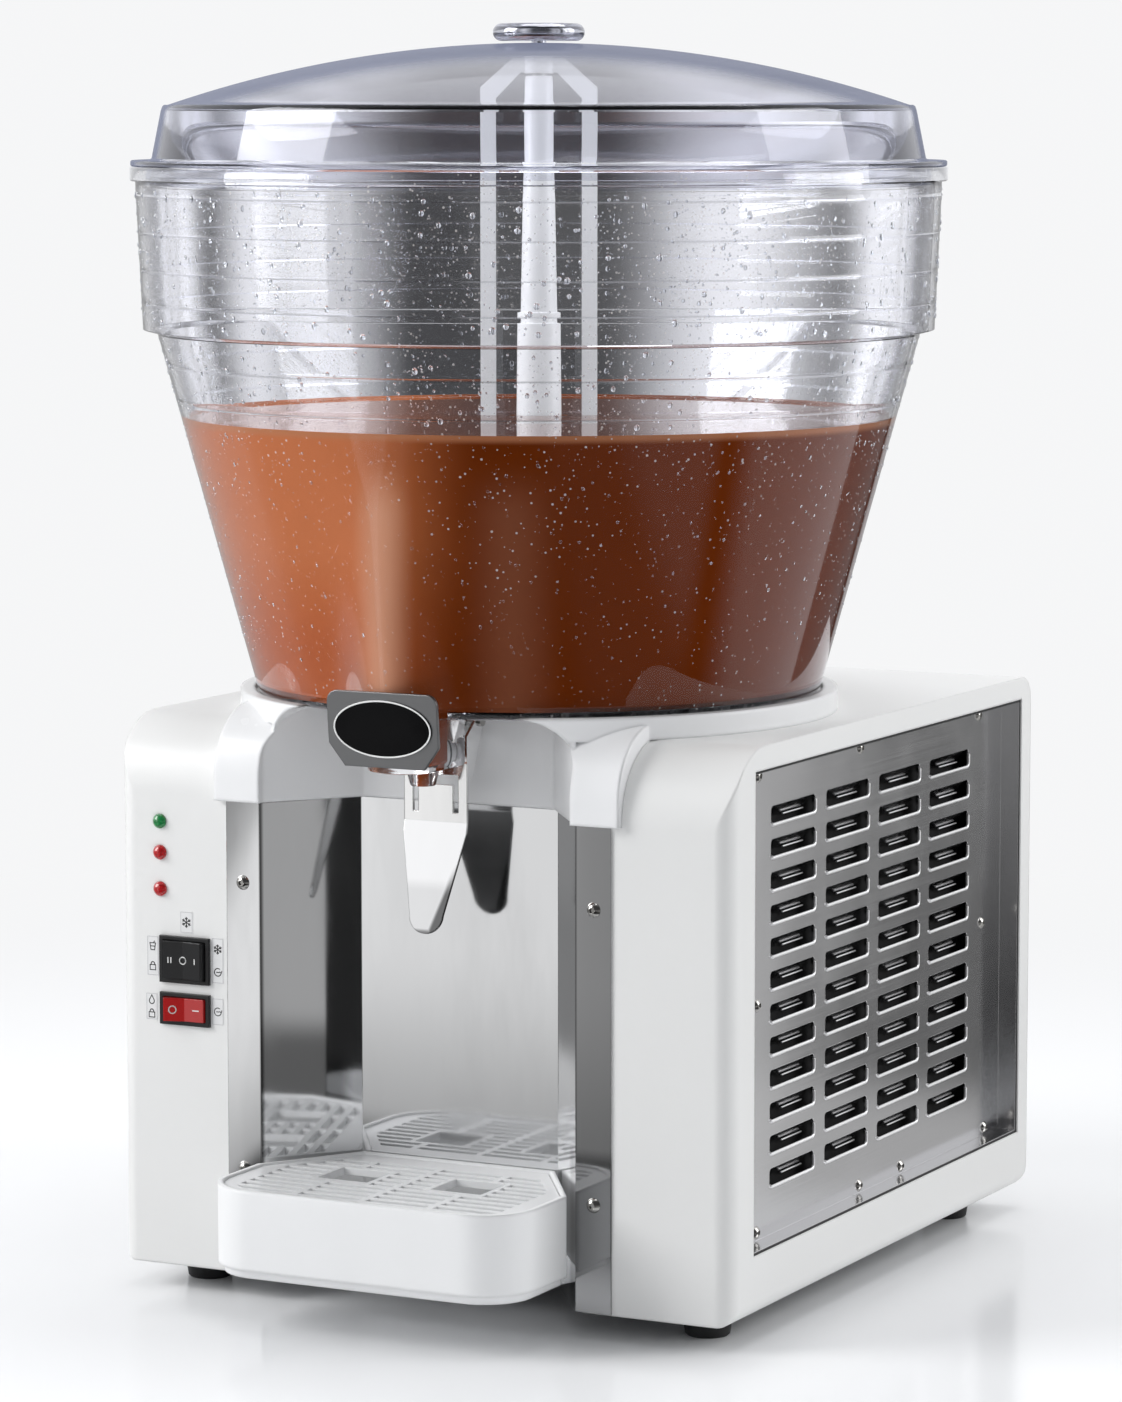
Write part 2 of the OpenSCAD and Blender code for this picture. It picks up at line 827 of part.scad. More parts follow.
module rear_panel() {
    y0 = rear_panel_y;
    color("whitesmoke")
    difference() {
        block([-rear_half, y0, rear_z0], [rear_half, y0 + sheet_t, rear_z1]);
        for (x = [-1, 1], r = [0 : rear_slot_rows - 1])
            translate([x * rear_slot_x, 0, rear_slot_z - r * rear_slot_pitch])
                block([-rear_slot_l / 2, y0 - over, 0], [rear_slot_l / 2, cab_d, rear_slot_h]);
        for (s = rear_screw_spots)
            rod_y([s[0], y0 - over, s[1]], sheet_t + 2 * over, screw_r + screw_gap);
        rod_y([gland_x, y0 - over, gland_z], sheet_t + 2 * over, gland_r + screw_gap / 2);
    }
}

module rear_panel_screws() {
    color("silver")
    for (s = rear_screw_spots)
        translate([s[0], cab_d, s[1]])
            rotate([-90, 0, 0]) dome_screw(screw_r, screw_head_r, screw_head_h, rear_screw_l);
}

// The gland through which a mains cord would enter
module cord_gland() {
    y0 = rear_panel_y;
    y1 = rear_panel_y + sheet_t;
    color("black")
    difference() {
        union() {
            rod_y([gland_x, y1, gland_z], gland_wall, gland_r + gland_wall);
            rod_y([gland_x, y0 - gland_reach, gland_z], y1 - y0 + gland_reach + 1, gland_r);
        }
        rod_y([gland_x, y0 - 2 * gland_reach, gland_z], 4 * gland_reach, gland_r - gland_wall);
    }
}

// Serving niche

module niche_liner() {
    half = niche_w / 2;
    back_half = niche_back_w / 2;
    slot_half = hook_w / 2 + slide_gap;
    color("gainsboro")
    difference() {
        upright(liner_bottom, liner_top)
            difference() {
                union() {
                    polygon([
                        [-half - liner_side, 0], [half + liner_side, 0],
                        [back_half + liner_side, niche_depth], [-back_half - liner_side, niche_depth]
                    ]);
                    translate([-half - strip_w, -liner_t]) square([2 * (half + strip_w), liner_t]);
                }
                polygon([
                    [-half - niche_slope * over, -over], [half + niche_slope * over, -over], [half, 0],
                    [back_half + niche_slope * liner_t, niche_depth - liner_t],
                    [-back_half - niche_slope * liner_t, niche_depth - liner_t], [-half, 0]
                ]);
            }
        both_sides() {
            for (z = strip_screw_z)
                rod_y([strip_screw_x, -2 * over, z], 4 * over, screw_r + screw_gap);
            block(
                [hook_half - slot_half, niche_depth - 3, hook_z - hook_h - slide_gap],
                [hook_half + slot_half, niche_depth + 3, hook_z + slide_gap]
            );
        }
    }
}

module liner_screws() {
    color("silver")
    both_sides()
        for (z = strip_screw_z)
            translate([strip_screw_x, -liner_t, z])
                rotate([90, 0, 0]) dome_screw(screw_r, strip_head_r, screw_head_h + 0.4, screw_l);
}

// Side view of the collar's legs, from their lower ends up over the front edge and back under the bowl
module leg_profile() {
    top = deck_z + leg_rise;
    bend_y = leg_bend - leg_t;
    bend_z = top - leg_bend;
    intersection() {
        translate([bend_y, bend_z]) circle(leg_bend);
        translate([-leg_t, bend_z]) square(leg_bend);
    }
    translate([-leg_t, leg_z]) square([leg_t + leg_reach, bend_z - leg_z]);
    translate([bend_y, leg_z]) square([leg_reach - bend_y, top - leg_z]);
}

// Front view of the opening between the legs, arched where it meets the ring
module arch_outline() {
    half = recess_half - arch_r;
    translate([-recess_half - over, 0]) square([2 * (recess_half + over), arch_z]);
    translate([-half, 0]) square([2 * half, collar_top + over]);
    for (x = [-half, half])
        translate([x, arch_z]) circle(arch_r);
}

// The recess in the collar that the tap hangs in, with a margin all round
module tap_recess(z0, z1, margin) {
    upright(z0, z1) niche_plan(recess_half, recess_back_half, recess_back_y, margin);
}

// The white moulding that carries the bowl and comes down over the front edge as two legs
module front_collar() {
    width = 2 * (recess_half + leg_w);
    color("white")
    difference() {
        union() {
            on_axis() collar_ring();
            difference() {
                along_x(width) leg_profile();
                on_axis() translate([0, 0, deck_z - 1]) cylinder(h = cab_h, r = collar_inner_r + 1);
                difference() {
                    along_x(2 * width) side_profile(0);
                    tap_recess(0, collar_top, moulding_t);
                }
            }
            intersection() {
                tap_recess(arch_z, seat_z - 1, moulding_t * 0.85);
                on_axis() cylinder(h = collar_top, r = collar_r - 0.5);
            }
        }
        intersection() {
            tap_recess(0, collar_top + over, 0);
            along_y(-2 * recess_half, niche_depth) arch_outline();
        }
    }
}

// The ring is hollow underneath and stiffened by ribs
module collar_ring() {
    ceiling = seat_z - moulding_t;
    outer = collar_r - moulding_t;
    inner = collar_inner_r + moulding_t;
    rotate_extrude()
        polygon([
            [collar_inner_r, deck_z], [collar_inner_r, seat_z], [seat_r, seat_z], [seat_r, collar_top],
            [collar_r, collar_top], [collar_r, deck_z], [outer, deck_z], [outer, ceiling],
            [inner, ceiling], [inner, deck_z]
        ]);
    for (i = [0 : rib_count - 1])
        rotate([0, 0, (i + 0.5) * 360 / rib_count])
            block([inner - 1, -rib_t / 2, deck_z], [outer + 1, rib_t / 2, ceiling + 1]);
}

// Cold end

module evaporator() {
    z0 = deck_z;
    side_top = z0 + evap_side_h;
    rise = evap_top - side_top;
    color("silver")
    on_axis()
        difference() {
            union() {
                translate([0, 0, z0]) cylinder(h = evap_t, r = evap_flange_r);
                translate([0, 0, z0]) cylinder(h = evap_side_h, r = evap_r);
                translate([0, 0, side_top]) cylinder(h = rise, r1 = evap_r, r2 = evap_pad_r);
            }
            translate([0, 0, z0 + evap_t]) cylinder(h = evap_side_h - evap_t, r = evap_r - evap_t);
            translate([0, 0, side_top - 0.01])
                cylinder(h = rise - evap_t, r1 = evap_r - evap_t, r2 = evap_pad_r);
            translate([0, 0, z0 - over]) cylinder(h = evap_top, r = column_bore_r);
        }
}

module bowl_gasket() {
    r0 = evap_r + gasket_gap;
    r1 = bowl_hole_r - 0.4;
    z0 = deck_z + evap_t;
    color("ivory")
    on_axis()
        rotate_extrude()
            polygon([
                [r0, z0], [r1 - 1.5, z0], [r1 - 1.5, seat_z + 2], [r1, seat_z + 3], [r1, seat_z + 5],
                [r1 - 1.5, seat_z + 6], [r1 - 1.5, seat_z + 9], [r1, seat_z + 10], [r1, seat_z + 12],
                [r1 - 2, seat_z + 14], [r0, seat_z + 14]
            ]);
}

module standpipe() {
    color("whitesmoke")
    on_axis()
        rotate_extrude()
            polygon([
                [column_bore_r, evap_top], [column_foot_r, evap_top],
                [column_foot_r, evap_top + column_foot_h], [13, evap_top + column_foot_h],
                [12.3, column_step - 50], [11.8, column_step], [10, column_step + 1],
                [7.6, column_top - 2], [7.2, column_top], [column_bore_r, column_top]
            ]);
}

module shaft_bush() {
    color("tan")
    on_axis()
        translate([0, 0, column_top - bush_l])
            difference() {
                cylinder(h = bush_l, r = column_bore_r - 0.02);
                translate([0, 0, -over]) cylinder(h = bush_l + 2 * over, r = shaft_r + run_gap);
            }
}

// Drive

module gear_motor() {
    color("dimgray")
    on_axis()
        difference() {
            union() {
                translate([0, 0, gear_top - gear_h]) cylinder(h = gear_h, r = gear_r);
                translate([0, 0, gear_top - gear_h - motor_h]) cylinder(h = motor_h, r = motor_r);
                translate([0, 0, gear_top - gear_h - motor_h - 4]) cylinder(h = 5, r = motor_r - 8);
                translate([0, 0, gear_top]) cylinder(h = 7, r = 9);
            }
            translate([0, 0, shaft_bottom - 1]) cylinder(h = 40, r = shaft_r + run_gap);
        }
}

module motor_bracket() {
    t = 2;
    hx = bracket_half[0];
    hy = bracket_half[1];
    color("darkgray")
    on_axis()
        difference() {
            union() {
                block([-hx, -hy, gear_top], [hx, hy, gear_top + t]);
                both_sides() {
                    block([hx - t, -hy, gear_top], [hx, hy, deck_z - shell_t]);
                    block([hx - t, -hy, deck_z - shell_t - t], [hx + 24, hy, deck_z - shell_t]);
                }
            }
            translate([0, 0, gear_top - over]) cylinder(h = 20, r = 9.2);
        }
}

module drive_shaft() {
    color("silver")
    on_axis()
        translate([0, 0, shaft_bottom]) cylinder(h = hub_z + shaft_grip - shaft_bottom, r = shaft_r);
}

// The inverted fork that hangs from the top of the column, with its paddles
module agitator() {
    color("white")
    on_axis()
        rotate([0, 0, arm_angle])
            difference() {
                union() {
                    translate([0, 0, hub_z]) cylinder(h = hub_h, r = hub_r);
                    both_sides() {
                        along_y(-arm_t / 2, arm_t / 2) agitator_arm();
                        agitator_paddle();
                    }
                    difference() {
                        translate([0, 0, ring_z]) cylinder(h = ring_h, r = ring_outer_r);
                        translate([0, 0, ring_z - over]) cylinder(h = ring_h + 2 * over, r = ring_inner_r);
                    }
                }
                translate([0, 0, hub_z - over]) cylinder(h = shaft_grip + over, r = shaft_r);
            }
}

module agitator_arm() {
    inner = arm_r - arm_w / 2;
    outer = arm_r + arm_w / 2;
    top = hub_z + hub_h - 1;
    low = hub_z + 0.5;
    polygon([
        [hub_r / 2 + 1, low], [hub_r / 2 + 1, top], [hub_r + 6, top], [outer, top - shoulder_drop],
        [outer, ring_z], [inner, ring_z], [inner, low - shoulder_drop + 2], [hub_r + 2, low]
    ]);
}

module agitator_paddle() {
    intersection() {
        translate([(ring_outer_r + paddle_r) / 2, 0, ring_z + paddle_h / 2 - 3])
            rotate([paddle_tilt, 0, 0]) cube([paddle_r - ring_outer_r + 6, paddle_t, paddle_h], center = true);
        translate([0, 0, ring_z]) cylinder(h = 2 * paddle_h, r = paddle_r);
    }
}

// Bowl

function inner_r(z) = bowl_base_r + cone_slope * (z - seat_z) - wall_side;

// A tapering channel that leans forward and dies out in the bowl's wall
module spout_channel(inset, z0) {
    slice = 0.1;
    shift = (z0 - spout_z) * tan(spout_lean);
    hull() {
        translate([0, spout_y - shift, z0]) cylinder(h = slice, r = spout_r - inset, $fn = 40);
        translate([0, channel_front + channel_top_r, channel_top])
            cylinder(h = slice, r = channel_top_r - inset, $fn = 40);
    }
}

module bowl() {
    floor_z = seat_z + bowl_floor_t;
    color([0.85, 0.9, 0.95, 0.4])
    difference() {
        union() {
            on_axis()
                rotate_extrude()
                    polygon([
                        [0, seat_z], [bowl_base_r, seat_z], [ledge_r, ledge_z],
                        [upper_r, ledge_z + ledge_rise], [upper_top_r, rim_z], [rim_r, rim_z + 1],
                        [rim_r, rim_top - 1], [rim_r - 1, rim_top], [0, rim_top]
                    ]);
            spout_channel(0, spout_z);
            block([-block_half, spout_y, spout_z], [block_half, block_rear, seat_z + 2]);
            badge_boss();
            translate([0, nozzle_y, spout_z - nozzle_h])
                cylinder(h = nozzle_h + 1, r1 = nozzle_tip_r, r2 = nozzle_r);
            both_sides() pivot_ear();
        }
        on_axis() {
            rotate_extrude()
                polygon([
                    [0, floor_z], [inner_r(floor_z), floor_z], [ledge_r - wall_side, ledge_z + 1],
                    [upper_r - bowl_t, ledge_z + ledge_rise + 1], [mouth_r, rim_z], [mouth_r, rim_top + over],
                    [0, rim_top + over]
                ]);
            translate([0, 0, seat_z - over]) cylinder(h = 2 * bowl_floor_t, r = bowl_hole_r);
        }
        spout_channel(spout_t, spout_z + spout_floor);
        rod_y([0, seat_y, valve_z], block_rear, valve_r);
        rod_y([0, spout_y, valve_z], seat_y - spout_y + over, seat_hole_r);
        translate([0, nozzle_y, spout_z - nozzle_h - over])
            cylinder(h = valve_z - spout_z + nozzle_h + over, r = nozzle_bore_r);
        rod_x([-2 * ear_outer, pivot_y, pivot_z], 4 * ear_outer, pin_r + 0.03);
    }
    on_axis()
        difference() {
            translate([0, 0, seat_z + 1]) cylinder(h = neck_top - seat_z - 1, r = bowl_hole_r + neck_t);
            translate([0, 0, seat_z]) cylinder(h = neck_top, r = bowl_hole_r);
        }
}

// An ear under the bowl's floor holds the lever's pin
module pivot_ear() {
    translate([(ear_inner + ear_outer) / 2, 0, 0])
        along_x(ear_outer - ear_inner) {
            translate([pivot_y, pivot_z]) circle(ear_r);
            translate([pivot_y - ear_r, pivot_z]) square([2 * ear_r, seat_z - pivot_z + 1]);
        }
}

// Leans a piece with the front of the spout channel, from the plane that touches it
module on_spout_front() {
    translate([0, spout_y, spout_z])
        rotate([spout_lean, 0, 0]) translate([0, -spout_r, 0]) children();
}

module badge_boss() {
    on_spout_front()
        block([-badge_pad, 0, badge_z - spout_z + 4], [badge_pad, spout_r, badge_z - spout_z + badge_h - 6]);
}

module badge_outline() {
    cx = badge_chamfer[0];
    cz = badge_chamfer[1];
    half = badge_w / 2;
    polygon([
        [-half + cx, 0], [half - cx, 0], [half, cz], [half, badge_h - badge_corner],
        [half - badge_corner, badge_h], [-half + badge_corner, badge_h], [-half, badge_h - badge_corner],
        [-half, cz]
    ]);
    for (x = [-1, 1])
        translate([x * (half - badge_corner), badge_h - badge_corner]) circle(badge_corner);
}

module badge_plate() {
    color("dimgray")
    on_spout_front()
        translate([0, 0, badge_z - spout_z]) along_y(-badge_t, 0) badge_outline();
}

module badge_inlay() {
    color("black")
    on_spout_front()
        translate([0, 0, badge_z - spout_z + badge_h / 2 + 1])
            along_y(-badge_t - oval_t, -badge_t) scale([oval_w / 2, oval_h / 2]) circle(1);
}

// Tap

module lever_pin() {
    head = 1.2;
    l = lever_w + 1;
    color("silver") {
        rod_x([-l / 2, pivot_y, pivot_z], l, pin_r);
        rod_x([l / 2 - 0.2, pivot_y, pivot_z], head, pin_r + 1.2);
        rod_x([-l / 2 + 0.2 - head, pivot_y, pivot_z], head, pin_r + 1.2);
    }
}

module lever_spring() {
    n = spring_turns * spring_steps;
    coil = [
        for (i = [0 : n])
            let (a = 360 * i / spring_steps)
            [
                -spring_half + 2 * spring_half * i / n,
                pivot_y + spring_r * cos(a),
                pivot_z + spring_r * sin(a)
            ]
    ];
    least_gap = norm(coil[spring_steps] - coil[0]) - 2 * spring_wire_r;
    echo(spring_least_gap = least_gap);
    color("gray") wire(coil, spring_wire_r, 6);
}

// The pressed steel lever: a slotted plate with a fork, two cheeks and the tongue that a cup pushes
module tap_lever() {
    half = lever_w / 2;
    color("silver") {
        difference() {
            block([-half, plate_y, plate_bottom], [half, plate_y + lever_t, plate_top]);
            both_sides()
                block([slit_x - slit_w / 2, plate_y - over, slit_z0], [slit_x + slit_w / 2, plate_y + 2 * lever_t, slit_z1]);
            block(
                [-slit_x, plate_y - over, slit_z1 - slit_bridge],
                [slit_x, plate_y + 2 * lever_t, slit_z1]
            );
            block([-fork_half, plate_y - over, valve_z - fork_half - 1.5], [fork_half, plate_y + 2 * lever_t, plate_top + over]);
        }
        translate([0, plate_y, plate_bottom]) rotate([-tongue_lean, 0, 0]) along_y(0, lever_t) tongue_outline();
        both_sides() lever_cheek();
    }
}

module tongue_outline() {
    half = lever_w / 2;
    tip_z = -tongue_l + tongue_tip_r;
    polygon([
        [-half, 0.3], [half, 0.3], [half, -tongue_neck], [tongue_tip_r, tip_z],
        [-tongue_tip_r, tip_z], [-half, -tongue_neck]
    ]);
    translate([0, tip_z]) circle(tongue_tip_r);
}

module lever_cheek() {
    low = plate_top - cheek_drop;
    translate([lever_w / 2 - lever_t / 2, 0, 0])
        along_x(lever_t)
            difference() {
                union() {
                    polygon([
                        [plate_y, low], [plate_y, plate_top], [pivot_y - 3, pivot_z + 2.5],
                        [pivot_y + cheek_r - 0.4, pivot_z - 1], [plate_y + cheek_foot, low]
                    ]);
                    translate([pivot_y, pivot_z]) circle(cheek_r);
                }
                translate([pivot_y, pivot_z]) circle(pin_r + run_gap);
            }
}

// The plunger closes the way from the spout to the nozzle, and the lever's fork draws it back
module valve_plunger() {
    front = seat_y + plug_t;
    piston_end = piston_y + piston_l;
    color("white")
    translate([0, 0, valve_z])
        rotate([-90, 0, 0])
            rotate_extrude()
                polygon([
                    [0, front], [plug_r, front], [plug_r, front + plug_t], [stem_r, front + plug_t],
                    [stem_r, piston_y], [piston_r, piston_y], [piston_r, groove_y], [groove_r, groove_y],
                    [groove_r, groove_y + groove_w], [piston_r, groove_y + groove_w],
                    [piston_r, piston_end], [button_r, piston_end], [button_r, plate_y - button_gap],
                    [rod_r, plate_y - button_gap], [rod_r, button_y], [button_r, button_y],
                    [button_r, button_y + button_t], [0, button_y + button_t]
                ]);
}

module valve_seals() {
    color("dimgray")
    translate([0, 0, valve_z])
        rotate([-90, 0, 0]) {
            translate([0, 0, seat_y + plug_t - seal_t]) cylinder(h = seal_t, r = plug_r + 0.4);
            translate([0, 0, groove_y + 0.1])
                difference() {
                    cylinder(h = groove_w - 0.2, r = valve_r - 0.02);
                    translate([0, 0, -over]) cylinder(h = 2 * groove_w, r = groove_r + 0.02);
                }
        }
}

// Lid

module lid() {
    lip_r = mouth_r - slide_gap;
    color([0.85, 0.9, 0.95, 0.4])
    on_axis()
        difference() {
            rotate_extrude() {
                polygon([
                    [lip_r - lid_t, rim_top - lid_lip_h], [lip_r, rim_top - lid_lip_h], [lip_r, rim_top],
                    [lid_flange_r, rim_top], [lid_flange_r, flange_z], [lid_base_r, flange_z],
                    [shoulder_r, shoulder_z], [shoulder_r - lid_t, shoulder_z - lid_t / 2],
                    [lid_base_r - lid_t, flange_z - lid_t / 2], [lip_r - lid_t, rim_top - lid_t / 2]
                ]);
                translate([0, dome_top - dome_r])
                    intersection() {
                        difference() {
                            circle(dome_r, $fn = 720);
                            circle(dome_r - lid_t, $fn = 720);
                        }
                        translate([0, dome_r - dome_h - 2.5]) square([shoulder_r - 0.5, 2 * dome_h]);
                    }
                translate([0, dome_top - lid_t / 2]) square([knob_pad_r, lid_t / 2 + knob_pad_h]);
            }
            translate([0, 0, dome_top - 2 * lid_t]) cylinder(h = 4 * lid_t, r = peg_r + 0.1);
        }
}

module lid_knob() {
    z0 = dome_top + knob_pad_h;
    color([0.85, 0.87, 0.9, 0.6])
    on_axis() {
        rotate_extrude() {
            translate([0, z0]) square([knob_r - knob_h / 2, knob_h]);
            translate([knob_r - knob_h / 2, z0 + knob_h / 2])
                intersection() {
                    circle(knob_h / 2);
                    translate([0, -knob_h]) square(2 * knob_h);
                }
        }
        translate([0, 0, z0 - 3.6]) cylinder(h = 5, r = peg_r);
    }
}

// Machine space

module compressor() {
    r = compressor_r;
    round_r = 34;
    color("black")
    translate([compressor_x, compressor_y, 0]) {
        rotate_extrude()
            intersection() {
                translate([-r, compressor_z]) round_rect([2 * r, compressor_h], round_r);
                translate([0, compressor_z]) square([r, compressor_h]);
            }
        rod_x([r - 2, 0, stub_z], stub_l + 2, stub_r);
        rod_y([0, -r - stub_l, stub_z], stub_l + 2, stub_r);
        difference() {
            block(
                [-compressor_foot[0] / 2, -compressor_foot[1] / 2, compressor_z - compressor_foot_t],
                [compressor_foot[0] / 2, compressor_foot[1] / 2, compressor_z + 0.5]
            );
            compressor_corners() translate([0, 0, compressor_z - 10]) cylinder(h = 20, r = 4.2);
        }
    }
}

module compressor_corners() {
    for (x = [-1, 1], y = [-1, 1])
        translate([x * (compressor_foot[0] / 2 - 10), y * (compressor_foot[1] / 2 - 10), 0]) children();
}

module compressor_grommets() {
    z1 = compressor_z - compressor_foot_t;
    color("black")
    translate([compressor_x, compressor_y, 0])
        compressor_corners()
            rotate_extrude()
                polygon([
                    [0, pan_top], [grommet_r, pan_top], [grommet_r - 2, (pan_top + z1) / 2], [grommet_r, z1],
                    [4, z1], [4, compressor_z + 4], [0, compressor_z + 4]
                ]);
}

function run_z(i) = run_z0 + i * run_pitch;

module condenser_fins() {
    step = (condenser_y[1] - condenser_y[0] - end_plate_t) / (fin_count + 1);
    color("lightgray")
    difference() {
        union() {
            for (i = [1 : fin_count])
                block(
                    [condenser_x[0], condenser_y[0] + i * step, condenser_z[0] + 8],
                    [condenser_x[1], condenser_y[0] + i * step + fin_t, condenser_z[1] - 4]
                );
            for (y = [condenser_y[0], condenser_y[1] - end_plate_t])
                block([condenser_x[0] - 2, y, condenser_z[0]], [condenser_x[1] + 2, y + end_plate_t, condenser_z[1]]);
        }
        for (i = [0 : run_count - 1])
            rod_y([run_x, condenser_y[0] - over, run_z(i)], condenser_y[1] - condenser_y[0] + 2 * over, tube_r + 0.05);
    }
}

module condenser_tube() {
    y0 = condenser_y[0] - run_end;
    y1 = condenser_y[1] + run_end;
    color("peru") {
        for (i = [0 : run_count - 1])
            rod_y([run_x, y0, run_z(i)], y1 - y0, tube_r);
        for (i = [0 : 2 : run_count - 2])
            return_bend(y1, run_z(i), 1);
        for (i = [1 : 2 : run_count - 3])
            return_bend(y0, run_z(i), -1);
    }
}

module return_bend(y, z, way) {
    translate([run_x, y, z + run_pitch / 2])
        rotate([0, 90, 0])
            rotate([0, 0, way > 0 ? 0 : 180])
                rotate_extrude(angle = 180) translate([run_pitch / 2, 0]) circle(tube_r);
}

module fan_shroud() {
    r = fan_r + 4;
    color("darkgray") {
        difference() {
            block(
                [shroud_x, fan_y - shroud_half, pan_top],
                [shroud_x + shroud_t, fan_y + shroud_half, fan_z + shroud_half]
            );
            rod_x([shroud_x - over, fan_y, fan_z], 10, r);
        }
        difference() {
            rod_x([fan_x - 2, fan_y, fan_z], shroud_x - fan_x + 3, r + 2);
            rod_x([fan_x - 4, fan_y, fan_z], 40, r);
        }
        for (a = [45 : 90 : 315])
            translate([fan_x - 6, fan_y, fan_z])
                rotate([a, 0, 0])
                    block([0, fan_motor_r - 8, -spider_w / 2], [5, r + 1, spider_w / 2]);
        difference() {
            rod_x([fan_x - 6, fan_y, fan_z], 3, fan_motor_r - 4);
            rod_x([fan_x - 8, fan_y, fan_z], 8, 7);
        }
    }
}

module fan_motor() {
    x1 = fan_x - 6;
    color("dimgray")
    difference() {
        union() {
            rod_x([x1 - fan_motor_l, fan_y, fan_z], fan_motor_l, fan_motor_r);
            rod_x([x1 - fan_motor_l - 6, fan_y, fan_z], 8, fan_motor_r / 2);
        }
        rod_x([x1 - 12, fan_y, fan_z], 14, fan_shaft_r + run_gap);
    }
}

module fan_rotor() {
    color("dimgray")
    translate([fan_x, fan_y, fan_z])
        rotate([0, 90, 0]) {
            cylinder(h = fan_depth, r = fan_hub_r);
            translate([0, 0, -16]) cylinder(h = 17, r = fan_shaft_r);
            for (i = [0 : fan_blades - 1])
                rotate([0, 0, i * 360 / fan_blades]) fan_blade();
        }
}

module fan_blade() {
    chord = 50;
    intersection() {
        translate([fan_r / 2, 0, fan_depth / 2])
            rotate([blade_tilt, 0, 0]) cube([fan_r, chord, blade_t], center = true);
        cylinder(h = fan_depth, r = fan_r);
        translate([0, -chord / 2, 0]) cube([fan_r, chord, fan_depth]);
    }
}

module filter_drier() {
    z0 = drier_z[0];
    z1 = drier_z[1];
    neck = 14;
    color("peru")
    translate([drier_spot[0], drier_spot[1], 0])
        rotate_extrude()
            polygon([
                [0, z0], [line_r + 1, z0], [drier_r, z0 + neck], [drier_r, z1 - neck],
                [capillary_r + 1, z1], [0, z1]
            ]);
}

module discharge_line() { copper_line(discharge_path, line_r); }

module liquid_line() { copper_line(liquid_path, line_r); }

module capillary_line() { copper_line(capillary_path, capillary_r); }

module suction_line() { copper_line(suction_path, suction_r); }

module control_box() {
    color("lightgray")
    translate(box_min) {
        difference() {
            cube(box_size);
            translate([box_t, box_t, box_t]) cube(box_size - [2 * box_t, 2 * box_t, 0]);
        }
        translate([0, 0, box_size[2]]) cube([box_size[0], box_size[1], box_t]);
    }
}

// Switches and lamps

// A lamp with a domed lens on a short body
module lamp(z) {
    dome = lamp_r * 0.6;
    ball_r = (lamp_r * lamp_r + dome * dome) / (2 * dome);
    translate([lamp_x, 0, z])
        rotate([90, 0, 0]) {
            cylinder(h = 1, r = lamp_r);
            translate([0, 0, 1])
                intersection() {
                    translate([0, 0, dome - ball_r]) sphere(ball_r);
                    cylinder(h = dome, r = lamp_r);
                }
            translate([0, 0, -lamp_body_l]) cylinder(h = lamp_body_l, r = lamp_body_r);
        }
}

module green_lamp() { color("limegreen") lamp(lamp_z[0]); }

module upper_red_lamp() { color("red") lamp(lamp_z[1]); }

module lower_red_lamp() { color("red") lamp(lamp_z[2]); }

// A switch's bezel and the box behind it, open at the front for its rocker
module switch_body(z, h) {
    half = bezel_w / 2;
    window = half - bezel_edge;
    deep = half - switch_wall - 0.3;
    color([0.12, 0.12, 0.12])
    translate([switch_x, 0, z])
        difference() {
            union() {
                block([-half, -bezel_t, -h / 2], [half, 0, h / 2]);
                block([-deep, -0.5, -h / 2 + 1.3], [deep, switch_depth, h / 2 - 1.3]);
            }
            block([-window, -bezel_t - over, -h / 2 + bezel_edge], [window, 16, h / 2 - bezel_edge]);
            translate([0, rocker_pivot_y, -h / 2 + 1.8]) cylinder(h = h - 3.6, r = rocker_pin_r + run_gap);
        }
}

module mode_switch_body() { switch_body(mode_z, mode_h); }

module power_switch_body() { switch_body(power_z, power_h); }

// A rocker with a dished face, turning about an upright pin
module rocker(z, h, turn) {
    half = h / 2 - bezel_edge - 0.3;
    translate([switch_x, rocker_pivot_y, z])
        rotate([0, 0, turn]) {
            upright(-half, half)
                intersection() {
                    circle(rocker_r);
                    polygon([
                        [-rocker_r, -rocker_reach], [0, -rocker_reach + rocker_dish], [rocker_r, -rocker_reach],
                        [rocker_r, 5], [-rocker_r, 5]
                    ]);
                }
            translate([0, 0, -half - 0.6]) cylinder(h = 2 * half + 1.2, r = rocker_pin_r);
        }
}

module mode_rocker() { color([0.1, 0.1, 0.1]) rocker(mode_z, mode_h, 0); }

module power_rocker() { color("red") rocker(power_z, power_h, rocker_rest); }

// Drip tray

// Plan of the tray, drawn in by an inset
module tray_plan(inset) {
    half = tray_half - inset;
    slope = (tray_half - tray_back_half) / (tray_back_y - tray_taper_y);
    side = inset * (sqrt(1 + slope * slope) - slope);
    front_y = -tray_reach;
    corner_y = front_y + tray_corner_r;
    polygon([
        [-half, corner_y], [half, corner_y], [half, tray_taper_y], [tray_back_half - side, tray_back_y - inset],
        [-tray_back_half + side, tray_back_y - inset], [-half, tray_taper_y]
    ]);
    translate([-tray_half + tray_corner_r, front_y + inset])
        square([2 * (tray_half - tray_corner_r), tray_corner_r]);
    for (x = [-1, 1])
        translate([x * (tray_half - tray_corner_r), corner_y]) circle(tray_corner_r - inset);
}

